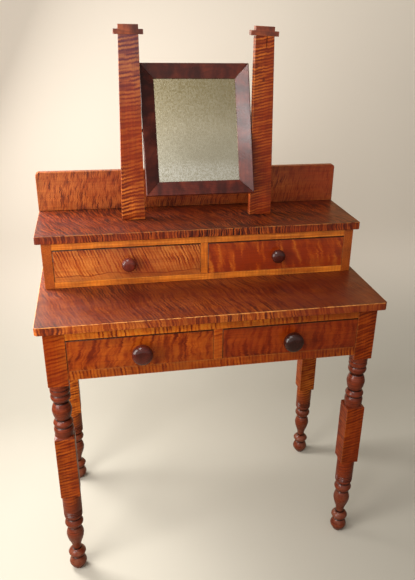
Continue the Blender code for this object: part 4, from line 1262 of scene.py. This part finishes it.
def paperLook(name, has):
    # pale seamless paper that lets a camera behind it look through
    look, tree, shader, place = startLook(name)
    x, y, z = split(tree, place)
    path = tree.nodes.new("ShaderNodeLightPath").outputs
    thrown = tone(*has["thrown"])   # what the paper throws back onto the table
    floor = blend(tree, cloud(tree, place, *has["fleck"]), tone(*has["floorDark"]), tone(*has["floorLight"]))
    floor = blend(tree, path["Is Camera Ray"], thrown, floor)
    # for the camera the wall is painted darker to the left, as painted shade against the stronger lamp light
    # there
    wall = blend(tree, ease(tree, x, *has["wallAcross"]), tone(*has["wallLeft"]), tone(*has["wallRight"]))
    seen = blend(tree, ease(tree, x, *has["seenAcross"]), tone(*has["seenLeft"]), tone(*has["seenRight"]))
    wall = blend(tree, path["Is Glossy Ray"], wall, seen)   # how the polish sees the wall: painted brighter to the left and warmer to the right, as painted reflection for the sheen on the tops
    wall = blend(tree, calc(tree, "MAXIMUM", path["Is Camera Ray"], path["Is Glossy Ray"]), thrown, wall)
    feed(tree, shader.inputs["Base Color"], blend(tree, ease(tree, z, *has["bend"]), floor, wall))
    shader.inputs["Roughness"].default_value = has["gloss"]
    shader.inputs["Specular IOR Level"].default_value = has["shine"]
    clear = tree.nodes.new("ShaderNodeBsdfTransparent")
    mix = tree.nodes.new("ShaderNodeMixShader")
    behind = tree.nodes.new("ShaderNodeNewGeometry").outputs["Backfacing"]
    for socket, term in zip(mix.inputs, (behind, shader.outputs[0], clear.outputs[0])):
        feed(tree, socket, term)
    feed(tree, tree.nodes["Material Output"].inputs["Surface"], mix.outputs[0])
    return look


def makeStudio(has):
    clearPick()
    bpy.ops.mesh.primitive_plane_add(size=1, location=(0.0, (has["front"] + has["back"]) / 2, 0.0))
    paper = bpy.context.object
    paper.name = "paper sweep"
    paper.scale = (2 * has["half"], has["back"] - has["front"], 1.0)
    bpy.ops.object.transform_apply(location=True, rotation=True, scale=True)
    openMesh(paper)
    atBack = Vector((0.0, has["back"], 0.0))
    pickWhere(paper, lambda edge: abs(edgeMiddle(edge).y - has["back"]) < has["near"])
    bpy.ops.mesh.extrude_region_move(TRANSFORM_OT_translate={"value": (0.0, 0.0, has["rise"])})
    pickWhere(paper, lambda edge: (edgeMiddle(edge) - atBack).length < has["near"])
    bpy.ops.mesh.bevel(offset=has["sweep"], segments=has["segments"], affect="EDGES")
    pickAll()
    bpy.ops.mesh.normals_make_consistent(inside=False)
    closeMesh()
    if paper.data.polygons[0].normal.z < -0.5 or paper.data.polygons[0].normal.y > 0.5:
        openMesh(paper)
        pickAll()
        bpy.ops.mesh.flip_normals()
        closeMesh()
    hold(paper)
    bpy.ops.object.shade_smooth()
    paper.data.materials.append(paperLook("seamless paper", paperFinish))


lamps = {
    "window": {"place": (-1.15, -0.75, 1.05), "aim": (0.0, -0.1, 0.7), "size": (0.7, 0.9),
               "power": 15.0, "colour": (1.0, 0.97, 0.92)},
    "side window": {"place": (-0.88, 0.48, 1.27), "aim": (0.0, 0.05, 0.8), "size": (0.5, 0.9),
                    "power": 18.0, "colour": (1.0, 0.98, 0.94)},
    "low sash": {"place": (-0.80, 0.24, 1.13), "aim": (-0.3, 0.0, 0.95), "size": (0.20, 0.25),
                 "power": 4.5, "colour": (1.0, 0.98, 0.94)},
    "fanlight": {"place": (-0.55, -1.25, 2.05), "aim": (0.0, 0.1, 1.1), "size": (0.55, 0.45),
                 "power": 8.5, "colour": (1.0, 0.98, 0.96)},
    "skylight": {"place": (-0.72, -0.40, 2.15), "aim": (-0.1, -0.1, 0.7), "size": (0.45, 0.45),
                 "power": 4.5, "colour": (1.0, 0.98, 0.96)},
}

# the room is bright to the left and in front, and dim to the right and below
roomLight = {
    "colour": (1.0, 0.96, 0.90, 1.0), "left": (0.55, -0.40), "above": (-0.46, -0.28), "front": (-0.50, -0.85),
    "leftGlow": 0.38, "aboveGlow": 0.08, "least": 0.08, "frontGlow": 0.22, "seen": 0.75,
}


def addLamp(name, place, aim, size, power, colour):
    lamp = bpy.data.lights.new(name, "AREA")
    lamp.shape = "RECTANGLE"
    lamp.size, lamp.size_y = size
    lamp.energy = power
    lamp.color = colour
    made = linked(name, lamp)
    made.location = place
    made.rotation_euler = (Vector(aim) - Vector(place)).to_track_quat("-Z", "Y").to_euler()


def makeLight(has):
    for name, lamp in lamps.items():
        addLamp(name, **lamp)
    world = bpy.data.worlds.new("room")
    world.use_nodes = True
    tree = world.node_tree
    back = tree.nodes["Background"]
    back.inputs["Color"].default_value = has["colour"]
    x, y, z = split(tree, tree.nodes.new("ShaderNodeTexCoord").outputs["Generated"])
    left = ease(tree, x, *has["left"])
    above = ease(tree, z, *has["above"])
    front = calc(tree, "MULTIPLY", ease(tree, y, *has["front"]), above)
    base = calc(tree, "MULTIPLY_ADD", above, has["aboveGlow"], has["least"])
    glow = calc(tree, "MULTIPLY_ADD", calc(tree, "MULTIPLY", left, above), has["leftGlow"], base)
    glow = calc(tree, "MULTIPLY_ADD", front, has["frontGlow"], glow)
    camera = tree.nodes.new("ShaderNodeLightPath").outputs["Is Camera Ray"]
    feed(tree, back.inputs["Strength"], mixValue(tree, camera, glow, has["seen"]))
    bpy.context.scene.world = world
    bpy.context.scene.view_settings.view_transform = "Standard"


photoCamera = {
    "sensor": 36.0, "lens": 38.598, "shift": (-0.03053, 0.01996),
    "place": (-0.26888, -1.52707, 1.43783), "turn": (65.183, -1.052, -11.621),   # degrees
}


def makeCamera(has):
    lens = bpy.data.cameras.new("camera")
    lens.sensor_width = has["sensor"]
    lens.lens = has["lens"]
    lens.shift_x, lens.shift_y = has["shift"]
    made = linked("camera", lens)
    made.location = has["place"]
    made.rotation_euler = [math.radians(turn) for turn in has["turn"]]
    bpy.context.scene.camera = made


makeStudio(studio)
makeLight(roomLight)
makeCamera(photoCamera)
print("studio set")
